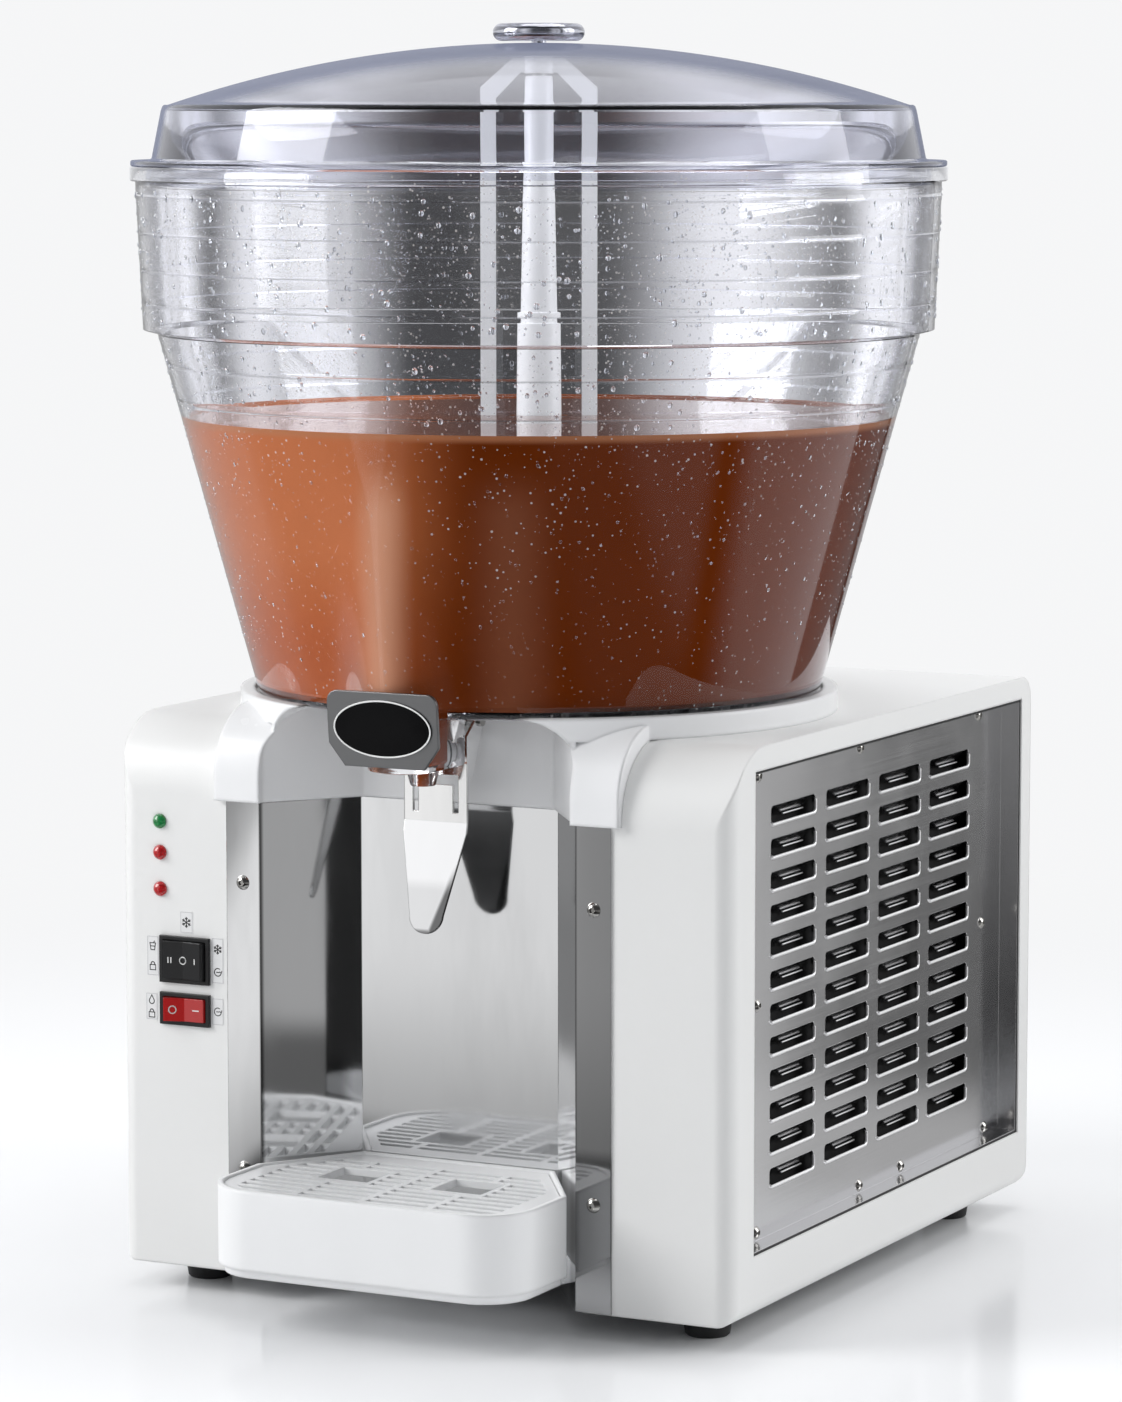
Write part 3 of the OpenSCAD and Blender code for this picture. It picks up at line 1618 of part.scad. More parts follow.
module drip_tray() {
    color("white") {
        difference() {
            upright(tray_floor_z, tray_rim_z) tray_plan(0);
            upright(tray_floor_z + tray_t, tray_rim_z + over) tray_plan(tray_t);
        }
        difference() {
            upright(grid_z - ledge_t, grid_z) tray_plan(tray_t - 0.5);
            upright(grid_z - 2 * ledge_t, grid_z + over) tray_plan(tray_t + ledge_w);
        }
        difference() {
            upright(tray_floor_z - plinth_h, tray_floor_z + 0.5) tray_plan(plinth_inset);
            upright(tray_floor_z - 2 * plinth_h, tray_floor_z) tray_plan(plinth_inset + tray_t);
        }
        both_sides()
            block(
                [hook_half - hook_w / 2, tray_back_y - 1, hook_z - hook_h],
                [hook_half + hook_w / 2, tray_back_y + hook_l, hook_z]
            );
    }
}

module drip_grid() {
    rows = floor((tray_reach + tray_back_y - 20) / grid_pitch_y);
    color("white")
    upright(grid_z, grid_z + grid_t)
        difference() {
            tray_plan(tray_t + grid_gap);
            intersection() {
                tray_plan(tray_t + grid_gap + grid_border);
                difference() {
                    for (i = [0 : rows - 1], x = [-2 : 1])
                        translate([x * grid_pitch_x + grid_rib / 2, -tray_reach + 11 + i * grid_pitch_y])
                            square([grid_pitch_x - grid_rib, grid_slot_w]);
                    for (x = [-1, 1])
                        translate([x * grid_hole_x, grid_hole_y]) square(grid_hole + 2 * [grid_frame, grid_frame], center = true);
                }
            }
            for (x = [-1, 1])
                translate([x * grid_hole_x, grid_hole_y]) square(grid_hole, center = true);
        }
}

place() base_pan();
place() rubber_feet();
place() cabinet_shell();
place() left_side_panel();
place() right_side_panel();
place() side_panel_screws();
place() air_filters();
place() rear_panel();
place() rear_panel_screws();
place() niche_liner();
place() liner_screws();
place() front_collar();
place() evaporator();
place() bowl_gasket();
place() standpipe();
place() shaft_bush();
place() gear_motor();
place() motor_bracket();
place() compressor();
place() compressor_grommets();
place() condenser_fins();
place() condenser_tube();
place() fan_shroud();
place() fan_motor();
place() filter_drier();
place() discharge_line();
place() liquid_line();
place() capillary_line();
place() suction_line();
place() control_box();
place() cord_gland();
place() green_lamp();
place() upper_red_lamp();
place() lower_red_lamp();
place() mode_switch_body();
place() power_switch_body();
place() bowl();
place() badge_plate();
place() badge_inlay();
place() lever_pin();
place() lever_spring();
place() tap_lever();
place() valve_plunger();
place() valve_seals();
place() lid();
place() lid_knob();
place() agitator();
place() drive_shaft();
place() fan_rotor();
place() mode_rocker();
place() power_rocker();
place() drip_tray();
place() drip_grid();
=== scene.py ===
"""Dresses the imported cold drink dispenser: finishes, clear bowl and lid, drink, marks and a studio."""
import logging
import math
import random
from dataclasses import dataclass
from enum import Enum
from functools import lru_cache
from typing import Any, Callable, Dict, List, Optional, Sequence, Tuple, Union

import bmesh
import bpy
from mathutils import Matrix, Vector


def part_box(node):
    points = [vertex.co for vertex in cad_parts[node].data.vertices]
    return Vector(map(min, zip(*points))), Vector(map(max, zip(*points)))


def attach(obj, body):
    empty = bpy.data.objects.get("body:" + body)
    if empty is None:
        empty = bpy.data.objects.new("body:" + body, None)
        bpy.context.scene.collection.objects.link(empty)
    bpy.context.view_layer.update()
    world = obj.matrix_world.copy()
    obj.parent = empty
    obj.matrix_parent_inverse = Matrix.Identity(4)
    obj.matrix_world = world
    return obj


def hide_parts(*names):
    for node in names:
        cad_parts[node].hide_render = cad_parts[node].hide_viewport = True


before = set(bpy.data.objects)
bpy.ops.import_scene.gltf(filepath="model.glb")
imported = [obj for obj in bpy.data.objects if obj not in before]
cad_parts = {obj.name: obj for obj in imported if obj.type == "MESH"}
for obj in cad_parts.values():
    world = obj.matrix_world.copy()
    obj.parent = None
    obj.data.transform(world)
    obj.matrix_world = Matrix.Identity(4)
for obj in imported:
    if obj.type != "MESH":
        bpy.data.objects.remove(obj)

LOG = logging.getLogger("dispenser")
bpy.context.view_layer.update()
MM = 0.001
FRONT_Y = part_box("cabinet_shell")[0].y
AXIS_Y = 142.5
DRINK_LEVEL = 474.0
RING_HEIGHTS = (594.0, 574.0, 554.0, 536.0, 503.0, 483.0)
SCREEN_RIGHT = (0.8918, 0.4524, 0.0)
SCREEN_AWAY = (-0.449, 0.886, 0.0)
PAPER = (0.92, 0.924, 0.932)

Triple = Tuple[float, float, float]
Pair = Tuple[float, float]
Value = Union["Wire", int, float, Sequence[float]]


def row(x: float, y: float, z: float) -> Vector:
    """Turns cabinet millimetres into the part's own metres.

    Args:
        x: Millimetres to the right of the middle.
        y: Millimetres behind the cabinet's front face.
        z: Millimetres above the floor.

    Returns:
        The point in the row frame.
    """
    return Vector((x * MM, y * MM + FRONT_Y, z * MM))


def still(*points: Pair) -> List[Triple]:
    """Marks the points of a section that don't swell."""
    return [(r, z, 0.0) for r, z in points]


def polyline_value(points: Sequence[Pair], z: float) -> float:
    """Reads a radius from a list of radius and height pairs.

    Args:
        points: Pairs of radius and height, rising.
        z: Height to read at.

    Returns:
        The radius at that height.
    """
    for (r0, z0), (r1, z1) in zip(points, points[1:]):
        if z <= z1:
            return r0 + (r1 - r0) * (z - z0) / (z1 - z0)
    return points[-1][0]


# Shaders


class Wire:
    """A shader socket whose arithmetic adds Math nodes."""

    def __init__(self, tree: "Tree", socket: bpy.types.NodeSocket) -> None:
        """Keeps the socket and the tree that it belongs to."""
        self.tree = tree
        self.socket = socket

    def _math(self, operation: str, *values: Value) -> "Wire":
        """Adds one Math node for an operation on values."""
        return self.tree.add("ShaderNodeMath", {"operation": operation}, dict(enumerate(values)))

    def __add__(self, other: Value) -> "Wire":
        """Sum with a value on the right."""
        return self._math("ADD", self, other)

    def __radd__(self, other: Value) -> "Wire":
        """Sum with a value on the left."""
        return self._math("ADD", other, self)

    def __sub__(self, other: Value) -> "Wire":
        """Difference with a value on the right."""
        return self._math("SUBTRACT", self, other)

    def __rsub__(self, other: Value) -> "Wire":
        """Difference with a value on the left."""
        return self._math("SUBTRACT", other, self)

    def __mul__(self, other: Value) -> "Wire":
        """Product with a value on the right."""
        return self._math("MULTIPLY", self, other)

    def __rmul__(self, other: Value) -> "Wire":
        """Product with a value on the left."""
        return self._math("MULTIPLY", other, self)

    def __pow__(self, other: Value) -> "Wire":
        """Power with a value on the right."""
        return self._math("POWER", self, other)

    def step(self, low: float, high: float) -> "Wire":
        """Smooth step of this value.

        Args:
            low: Value at which the step starts.
            high: Value at which it ends.

        Returns:
            A value from 0 to 1.
        """
        return self.tree.add(
            "ShaderNodeMapRange",
            {"interpolation_type": "SMOOTHSTEP"},
            {"Value": self, "From Min": low, "From Max": high},
        )

    def near(self, centre: float, width: float) -> "Wire":
        """1 at a centre, falling to 0 at a width to either side."""
        return 1.0 - self._math("ABSOLUTE", self - centre).step(0.0, width)

    def most(self, other: Value) -> "Wire":
        """The larger of this and another value."""
        return self._math("MAXIMUM", self, other)

    def axis(self, index: int) -> "Wire":
        """One coordinate of a vector, by number."""
        return self.tree.add("ShaderNodeSeparateXYZ", None, {0: self}, index)

    def along(self, way: Triple) -> "Wire":
        """How far a vector reaches in one direction."""
        pair = {0: self, 1: way}
        return self.tree.add("ShaderNodeVectorMath", {"operation": "DOT_PRODUCT"}, pair, 1)


class Tree:
    """The node tree of one material or world."""

    def __init__(self, owner: Any) -> None:
        """Empties the owner's node tree and keeps it.

        Args:
            owner: A material or a world.
        """
        owner.use_nodes = True
        self.nodes = owner.node_tree.nodes
        self.links = owner.node_tree.links
        self.nodes.clear()

    def add(
        self,
        kind: str,
        settings: Optional[Dict[str, Any]] = None,
        inputs: Optional[Dict[Any, Value]] = None,
        output: Union[int, str] = 0,
    ) -> Wire:
        """Adds any node.

        Args:
            kind: The node's type.
            settings: Properties that are set first; stops sets a ramp's positions and colours.
            inputs: Values or wires for its sockets, by name or number.
            output: The socket to return.

        Returns:
            A wire from that socket.
        """
        node = self.nodes.new(kind)
        for key, value in (settings or {}).items():
            if key == "stops":
                ramp = node.color_ramp.elements
                while len(ramp) < len(value):
                    ramp.new(0.5)
                for stop, (place, color) in zip(ramp, value):
                    stop.position = place
                    stop.color = color
            else:
                setattr(node, key, value)
        for key, value in (inputs or {}).items():
            if isinstance(value, Wire):
                self.links.new(value.socket, node.inputs[key])
            else:
                node.inputs[key].default_value = value
        return Wire(self, node.outputs[output]) if len(node.outputs) else Wire(self, node.inputs[0])

    def spot(self, scale: Optional[Triple] = None) -> Wire:
        """Place on the object, in metres.

        Args:
            scale: Stretches the place, if it is given.

        Returns:
            The place.
        """
        place = self.add("ShaderNodeTexCoord", output="Object")
        if scale is None:
            return place
        return self.add("ShaderNodeMapping", None, {"Vector": place, "Scale": scale})

    def noise(self, spot: Wire, scale: float, detail: float = 2.0, rough: float = 0.5) -> Wire:
        """Noise over the object.

        Args:
            spot: Place to read it at.
            scale: Lumps per metre.
            detail: Number of finer layers.
            rough: Strength of the finer layers.

        Returns:
            A value about 0.5.
        """
        inputs = {"Vector": spot, "Scale": scale, "Detail": detail, "Roughness": rough}
        return self.add("ShaderNodeTexNoise", None, inputs)

    def mix(self, share: Value, a: Value, b: Value) -> Wire:
        """Mixes two colours.

        Args:
            share: 0 for the first and 1 for the second.
            a: First colour.
            b: Second colour.

        Returns:
            The mixed colour.
        """
        pair = {0: share, 6: opaque(a), 7: opaque(b)}
        return self.add("ShaderNodeMix", {"data_type": "RGBA"}, pair, 2)

    def relief(self, height: Wire, depth: float, edge: float, strength: float = 1.0) -> Wire:
        """Normal of a surface with small relief and softened edges.

        Args:
            height: Relief from 0 to 1.
            depth: Depth of the relief in metres.
            edge: Radius of the softened edges in metres.
            strength: Share of the relief that shows.

        Returns:
            The normal.
        """
        inputs: Dict[Any, Value] = {"Height": height, "Distance": depth, "Strength": strength}
        if edge > 0:
            inputs["Normal"] = self.add("ShaderNodeBevel", {"samples": 6}, {"Radius": edge})
        return self.add("ShaderNodeBump", None, inputs)

    def principled(self, inputs: Dict[str, Value]) -> Wire:
        """Adds the main surface shader with these inputs."""
        return self.add("ShaderNodeBsdfPrincipled", None, inputs)

    def blend(self, share: Value, a: Wire, b: Wire) -> Wire:
        """Mixes two shaders: 0 for the first and 1 for the second."""
        return self.add("ShaderNodeMixShader", None, {0: share, 1: a, 2: b})

    def glass(self, tint: Triple, ior: float) -> Wire:
        """Adds a clear shader."""
        return self.add("ShaderNodeBsdfGlass", None, {"Color": opaque(tint), "Roughness": 0.0, "IOR": ior})

    def glow(self, color: Value) -> Wire:
        """Adds a shader that shines with just this colour."""
        return self.add("ShaderNodeEmission", None, {"Color": opaque(color), "Strength": 1.0})

    def facing(self) -> Wire:
        """0 where the surface faces the eye, rising to 1 at a glancing angle."""
        return self.add("ShaderNodeLayerWeight", None, {"Blend": 0.5}, "Facing")

    def ray(self, *kinds: str) -> Wire:
        """Tells rays apart.

        Args:
            kinds: Names of the kinds that count.

        Returns:
            1 for a ray of any of these kinds and 0 for others.
        """
        found = self.add("ShaderNodeLightPath", output=kinds[0])
        for kind in kinds[1:]:
            found = found.most(self.add("ShaderNodeLightPath", output=kind))
        return found

    def mirror_ray(self) -> Wire:
        """1 for a ray that a shiny surface sent back and 0 for one that went through a clear wall."""
        return self.ray("Is Glossy Ray") * (1.0 - self.ray("Is Transmission Ray"))


def opaque(color: Value) -> Value:
    """Adds full alpha to a colour of three numbers."""
    return (*color, 1.0) if isinstance(color, tuple) and len(color) == 3 else color


def dimmed(color: Triple, share: float) -> Triple:
    """A colour with each channel times a share."""
    return tuple(c * share for c in color)


# Finishes


@dataclass(frozen=True)
class Finish:
    """A finish with a name, which builds its material once."""

    name: str

    def shade(self, tree: Tree) -> Wire:
        """Builds the surface shader from the material's nodes."""
        raise NotImplementedError

    @lru_cache(maxsize=None)
    def material(self) -> bpy.types.Material:
        """Makes the material.

        Returns:
            The same one at each call.
        """
        made = bpy.data.materials.new(self.name)
        tree = Tree(made)
        tree.add("ShaderNodeOutputMaterial", None, {"Surface": self.shade(tree)})
        return made


@dataclass(frozen=True)
class PaintedSheet(Finish):
    """Powder-coated sheet with a faint orange peel."""

    color: Triple
    rough: float = 0.32
    edge: float = 0.0022

    def shade(self, tree: Tree) -> Wire:
        """Builds the surface shader.

        Args:
            tree: The material's nodes.

        Returns:
            The shader.
        """
        spot = tree.spot()
        cloud = tree.noise(spot, 5.0)
        peel = tree.noise(spot, 650.0, 1.0)
        return tree.principled({
            "Base Color": tree.mix(cloud, dimmed(self.color, 0.97), self.color),
            "Roughness": self.rough + (cloud - 0.5) * 0.08,
            "Normal": tree.relief(peel, 0.00012, self.edge, 0.25),
        })


class Lay(Enum):
    """Direction in which sheet steel is brushed."""

    ALONG_X = (6.0, 1500.0, 1500.0)
    ALONG_Y = (1500.0, 6.0, 1500.0)
    ALONG_Z = (1500.0, 1500.0, 6.0)


@dataclass(frozen=True)
class BrushedSteel(Finish):
    """Metal with fine lines along one direction and faint smears."""

    color: Triple
    rough: float
    lay: Lay
    edge: float = 0.0006
    streak: float = 0.12
    wave: float = 0.0

    def shade(self, tree: Tree) -> Wire:
        """Builds the surface shader.

        Args:
            tree: The material's nodes.

        Returns:
            The shader.
        """
        lines = tree.noise(tree.spot(self.lay.value), 1.0, 3.0, 0.6)
        smear = tree.noise(tree.spot(), 14.0, 4.0, 0.6).step(0.35, 0.75)
        height = lines + tree.noise(tree.spot(), 8.0, 1.0) * self.wave if self.wave else lines
        return tree.principled({
            "Base Color": tree.mix(lines, dimmed(self.color, 0.9), self.color),
            "Metallic": 1.0,
            "Roughness": self.rough + (lines - 0.5) * self.streak + smear * 0.06,
            "Normal": tree.relief(height, 0.00004, self.edge, 0.25),
        })


@dataclass(frozen=True)
class MirrorSteel(Finish):
    """Polished steel with wiping marks and painted shade."""

    color: Triple
    rough: float = 0.05
    edge: float = 0.0005

    def shade(self, tree: Tree) -> Wire:
        """Builds the surface shader.

        Args:
            tree: The material's nodes.

        Returns:
            The shader.
        """
        wiped = tree.noise(tree.spot((20.0, 20.0, 5.0)), 1.0, 4.0, 0.65).step(0.4, 0.8)
        ripple = tree.noise(tree.spot(), 9.0, 1.0)
        steel = tree.mix(wiped, self.color, dimmed(self.color, 0.93))
        return tree.principled({
            # Painted shade: shadow() darkens the steel's colour where the niche and the lever paint shade.
            "Base Color": tree.mix(self.shadow(tree), steel, dimmed(self.color, 0.08)),
            "Metallic": 1.0,
            "Roughness": self.rough + wiped * 0.07,
            "Normal": tree.relief(ripple, 0.0012, self.edge, 0.12),
        })

    def shadow(self, tree: Tree) -> Wire:
        """Share of painted shade at each place of the steel."""
        raise NotImplementedError


@dataclass(frozen=True)
class LinerSteel(MirrorSteel):
    """The niche's polished steel, with painted shade along its front folds and low on the right."""

    # Painted shade: a dark line along each front fold and a dark patch low on the right strip.
    fold_x: float = 0.0945
    fold_half: float = 0.0014
    fold_dark: float = 0.9
    low_x: Pair = (0.0805, 0.0885)
    low_z: Pair = (0.093, 0.103)
    low_dark: float = 0.68

    def shadow(self, tree: Tree) -> Wire:
        """Share of painted shade at each place.

        Args:
            tree: The material's nodes.

        Returns:
            0 for bright steel, rising to 1.
        """
        place = tree.spot()
        x = place.axis(0)
        fold = x.near(self.fold_x, self.fold_half).most(x.near(-self.fold_x, self.fold_half))
        # Painted shade low on the right strip, as a dark reflection of what stands under the machine.
        low = (1.0 - place.axis(2).step(*self.low_z)) * x.step(*self.low_x)
        return (fold * self.fold_dark).most(low * self.low_dark)


@dataclass(frozen=True)
class LeverSteel(MirrorSteel):
    """The lever's polished steel, with painted dark reflections low on its tongue and along the tip's edge.

    A triple has two heights above the tip, between which the dark fades out, and the share of dark below.
    """

    # Painted dark reflections: greyer low on the tongue, dark at the tip and in a wedge along its edge.
    tip_z: float = 0.2062
    lower: Triple = (0.022, 0.03, 0.2)
    tip: Triple = (0.001, 0.004, 0.8)
    edge_lean: float = 0.35
    edge_wide: float = 0.0032
    edge_fade: Triple = (0.02, 0.04, 0.9)

    def shadow(self, tree: Tree) -> Wire:
        """Share of painted shade at each place.

        Args:
            tree: The material's nodes.

        Returns:
            0 for bright steel, rising to 1.
        """
        place = tree.spot()
        z = place.axis(2) - self.tip_z
        lower, tip, fade = ((1.0 - z.step(*t[:2])) * t[2] for t in (self.lower, self.tip, self.edge_fade))
        wedge = (place.axis(0) - z * self.edge_lean).step(0.0, self.edge_wide) * fade
        return lower.most(wedge).most(tip)


@dataclass(frozen=True)
class Moulding(Finish):
    """Moulded plastic or rubber with a fine skin."""

    color: Triple
    rough: float = 0.3
    grain: float = 0.00006
    edge: float = 0.0012
    coat: float = 0.0
    # glow is painted light: an even glow in the part's own colour, though it is no lamp.
    glow: float = 0.0
    shine: float = 0.5

    def shade(self, tree: Tree) -> Wire:
        """Builds the surface shader.

        Args:
            tree: The material's nodes.

        Returns:
            The shader.
        """
        spot = tree.spot()
        cloud = tree.noise(spot, 18.0, 3.0)
        skin = tree.noise(spot, 1800.0, 2.0)
        return tree.principled({
            "Base Color": tree.mix(cloud, dimmed(self.color, 0.95), self.color),
            "Roughness": self.rough + (cloud - 0.5) * 0.1,
            "Specular IOR Level": self.shine,
            "Coat Weight": self.coat,
            "Coat Roughness": 0.05,
            # Painted light where glow is above zero.
            "Emission Color": opaque(self.color),
            "Emission Strength": self.glow,
            "Normal": tree.relief(skin, self.grain, self.edge, 0.3),
        })


@dataclass(frozen=True)
class CastMetal(Finish):
    """Plain or enamelled metal with a slightly uneven surface."""

    color: Triple
    metallic: float
    rough: float
    edge: float = 0.0008

    def shade(self, tree: Tree) -> Wire:
        """Builds the surface shader.

        Args:
            tree: The material's nodes.

        Returns:
            The shader.
        """
        spot = tree.spot()
        dull = tree.noise(spot, 60.0, 4.0, 0.6)
        return tree.principled({
            "Base Color": tree.mix(dull, dimmed(self.color, 0.8), self.color),
            "Metallic": self.metallic,
            "Roughness": self.rough + (dull - 0.5) * 0.2,
            "Normal": tree.relief(dull, 0.0001, self.edge, 0.3),
        })


@dataclass(frozen=True)
class ClearPlastic(Finish):
    """Clear moulded wall: glass-like, brighter at a glancing angle, with fine wipe marks.

    A rim above zero puts painted shade on the outermost edge, where thick plastic shows a dark edge. Mist
    adds fine beads of water, drawn as pale dots that are painted highlights, and rings are heights in
    millimetres where a thin line runs around the wall.
    """

    tint: Triple
    sheen: Triple
    ior: float = 1.45
    base: float = 0.02
    gain: float = 0.3
    haze: float = 0.03
    # rim puts painted shade on the outermost edge.
    rim: float = 0.0
    rim_tone: Triple = (0.16, 0.175, 0.24)
    rim_facing: Pair = (0.79, 0.88)
    # mist draws water beads as pale dots, which are painted highlights.
    mist: float = 0.0
    mist_tone: Triple = (0.8, 0.76, 0.74)
    bead_cells: float = 330.0
    bead_size: float = 0.26
    bead_edge: float = 0.06
    rings: Tuple[float, ...] = ()
    ring_half: float = 0.0007
    ring_share: float = 0.3

    def shade(self, tree: Tree) -> Wire:
        """Builds the surface shader.

        Args:
            tree: The material's nodes.

        Returns:
            The shader.
        """
        wipe = tree.noise(tree.spot((3.0, 3.0, 40.0)), 1.0, 4.0, 0.6).step(0.45, 0.8)
        facing = tree.facing()
        gloss = tree.principled({
            "Base Color": opaque(self.sheen),
            "Metallic": 1.0,
            "Roughness": 0.08 + wipe * 0.12,
        })
        share = facing ** 3.0 * self.gain + wipe * self.haze + self.base
        height = tree.spot().axis(2)
        for ring in self.rings:
            share = share + height.near(ring * MM, self.ring_half) * self.ring_share
        wall = tree.blend(share, tree.glass(self.tint, self.ior), gloss)
        # Painted shade: a dark film on the outermost edge.
        if self.rim:
            edge = facing.step(*self.rim_facing) * self.rim
            wall = tree.blend(edge, wall, self.film(tree, self.rim_tone))
        # Painted highlights: pale dots for the glints of the water beads.
        if self.mist:
            wall = tree.blend(self.beads(tree) * self.mist, wall, self.film(tree, self.mist_tone))
        return lamps_through(tree, wall, self.tint)

    def film(self, tree: Tree, tone: Triple) -> Wire:
        """A soft, even layer of one tone."""
        return tree.principled({"Base Color": opaque(tone), "Roughness": 0.4, "Specular IOR Level": 0.0})

    def beads(self, tree: Tree) -> Wire:
        """Fine round beads of water, in patches.

        Args:
            tree: The material's nodes.

        Returns:
            1 on a bead, 0 between.
        """
        place = tree.spot()
        cells = {"Vector": place, "Scale": self.bead_cells}
        gap = tree.add("ShaderNodeTexVoronoi", None, cells, "Distance")
        pick = tree.add("ShaderNodeTexVoronoi", None, cells, "Color")
        size = tree.add("ShaderNodeSeparateColor", None, {0: pick}, 0)
        patch = tree.noise(place, 14.0, 3.0).step(0.4, 0.6)
        return (size * self.bead_size - gap).step(0.0, self.bead_edge) * (0.25 + patch * 0.75)


def lamps_through(tree: Tree, glass: Wire, tint: Triple) -> Wire:
    """Lets the light of lamps pass straight through a clear wall.

    Args:
        tree: The material's nodes.
        glass: The wall as it is seen.
        tint: Colour that the light takes on.

    Returns:
        The whole shader.
    """
    window = tree.add("ShaderNodeBsdfTransparent", None, {"Color": opaque(tint)})
    return tree.blend(tree.ray("Is Shadow Ray", "Is Diffuse Ray"), glass, window)


@dataclass(frozen=True)
class WaterDrop(Finish):
    """Condensed water on the clear wall."""

    tint: Triple = (0.97, 0.98, 1.0)
    ior: float = 1.33

    def shade(self, tree: Tree) -> Wire:
        """Builds the surface shader.

        Args:
            tree: The material's nodes.

        Returns:
            The shader.
        """
        gloss = tree.principled({"Base Color": opaque(self.tint), "Metallic": 1.0, "Roughness": 0.03})
        drop = tree.blend(tree.facing() ** 2.0 * 0.5 + 0.08, tree.glass(self.tint, self.ior), gloss)
        return lamps_through(tree, drop, self.tint)


@dataclass(frozen=True)
class ChocolateDrink(Finish):
    """Opaque milk drink: painted light on the left, painted shade on the right, froth at the top and bright
    streaks that are painted highlights.

    Shed is the colour that it throws on its neighbours. A painted highlight has a place across, a half width
    and a share.
    """

    # Painted light and shade: light is the lit tone on the left, low its tone lower down, dark the shaded
    # tone on the right.
    light: Triple
    low: Triple
    dark: Triple
    froth: Triple
    shed: Triple = (0.21, 0.19, 0.18)
    # sheen is the colour of the painted highlights.
    sheen: Triple = (0.64, 0.32, 0.2)
    froth_deep: float = 0.004
    low_z: Pair = (0.35, 0.42)
    ridge_y: Pair = (-0.17, -0.1)
    ridge_z: Pair = (0.43, 0.465)
    # Painted shade: the span across in which the light tone on the left turns into the dark tone on the
    # right.
    painted_shade_span: Pair = (-0.11, -0.04)
    # Painted highlights: bright streaks on the front of the drink.
    painted_highlights: Tuple[Triple, ...] = ((-0.091, 0.018, 0.8), (-0.024, 0.03, 0.12))

    def shade(self, tree: Tree) -> Wire:
        """Builds the surface shader.

        Args:
            tree: The material's nodes.

        Returns:
            The shader.
        """
        place = tree.spot()
        height = place.axis(2)
        across = place.along(SCREEN_RIGHT)
        cloud = tree.noise(place, 9.0, 3.0)
        ridge = (1.0 - place.axis(1).step(*self.ridge_y)) * (1.0 - height.step(*self.ridge_z))
        # Painted shade: the drink's colour darkens towards the right.
        painted_shade_share = (across + (cloud - 0.5) * 0.03).step(*self.painted_shade_span)
        body = tree.mix(painted_shade_share, tree.mix(height.step(*self.low_z), self.low, self.light), self.dark)
        # Painted highlights: pale streaks on the front of the drink.
        for centre, half, share in self.painted_highlights:
            body = tree.mix(ridge * across.near(centre, half) * share, body, self.sheen)
        open_top = tree.add("ShaderNodeNewGeometry", output="Normal").axis(2).step(0.6, 0.95)
        edge = height.step(DRINK_LEVEL * MM - self.froth_deep, DRINK_LEVEL * MM)
        seen = tree.mix(edge * 0.75 * (1.0 - open_top * 0.8), body, self.froth)
        return tree.principled({
            "Base Color": tree.mix(tree.ray("Is Diffuse Ray"), seen, self.shed),
            "Roughness": 0.28 + (cloud - 0.5) * 0.1,
            "Specular IOR Level": 0.0,
            "Coat Weight": open_top,
            "Coat Roughness": 0.03,
            "Normal": tree.relief(tree.noise(place, 40.0, 2.0), 0.0006, 0.0, 0.2),
        })


@dataclass(frozen=True)
class LampLens(Finish):
    """Jewelled lamp lens with a faint glow."""

    color: Triple
    glow: float = 0.15

    def shade(self, tree: Tree) -> Wire:
        """Builds the surface shader.

        Args:
            tree: The material's nodes.

        Returns:
            The shader.
        """
        facets = tree.add("ShaderNodeTexVoronoi", None, {"Vector": tree.spot(), "Scale": 900.0})
        return tree.principled({
            "Base Color": tree.mix(facets, self.color, dimmed(self.color, 0.4)),
            "Roughness": 0.08 + facets * 0.1,
            "Emission Color": tree.mix(facets, self.color, dimmed(self.color, 0.2)),
            "Emission Strength": self.glow,
            "Coat Weight": 1.0,
            "Normal": tree.relief(facets, 0.0003, 0.0, 0.3),
        })


WHITE_PAINT = PaintedSheet("white_paint", (0.82, 0.82, 0.81))
REAR_PAINT = PaintedSheet("rear_paint", (0.78, 0.78, 0.77), 0.4, 0.0005)
PANEL_STEEL = BrushedSteel("panel_steel", (0.66, 0.66, 0.67), 0.15, Lay.ALONG_Y, wave=60.0)
# Steel brighter than the panel's: a painted highlight on the slots' lips and vane edges.
LIP_STEEL = BrushedSteel("lip_steel", (0.93, 0.93, 0.94), 0.45, Lay.ALONG_Y, 0.0)
NICHE_STEEL = LinerSteel("niche_steel", (0.74, 0.745, 0.755))
LEVER_STEEL = LeverSteel("lever_steel", (0.93, 0.93, 0.93), 0.1, 0.0008)
SCREW_STEEL = CastMetal("screw_steel", (0.5, 0.49, 0.47), 1.0, 0.16, 0.0003)
WHITE_MOULDING = Moulding("white_moulding", (0.9, 0.903, 0.91), 0.26, edge=0.003)
# The tray's glow is painted light that brightens its inside.
TRAY_MOULDING = Moulding("tray_moulding", (0.84, 0.845, 0.85), 0.3, edge=0.0035, glow=0.07)
GRID_MOULDING = Moulding("grid_moulding", (0.83, 0.835, 0.84), 0.32, edge=0.0008)
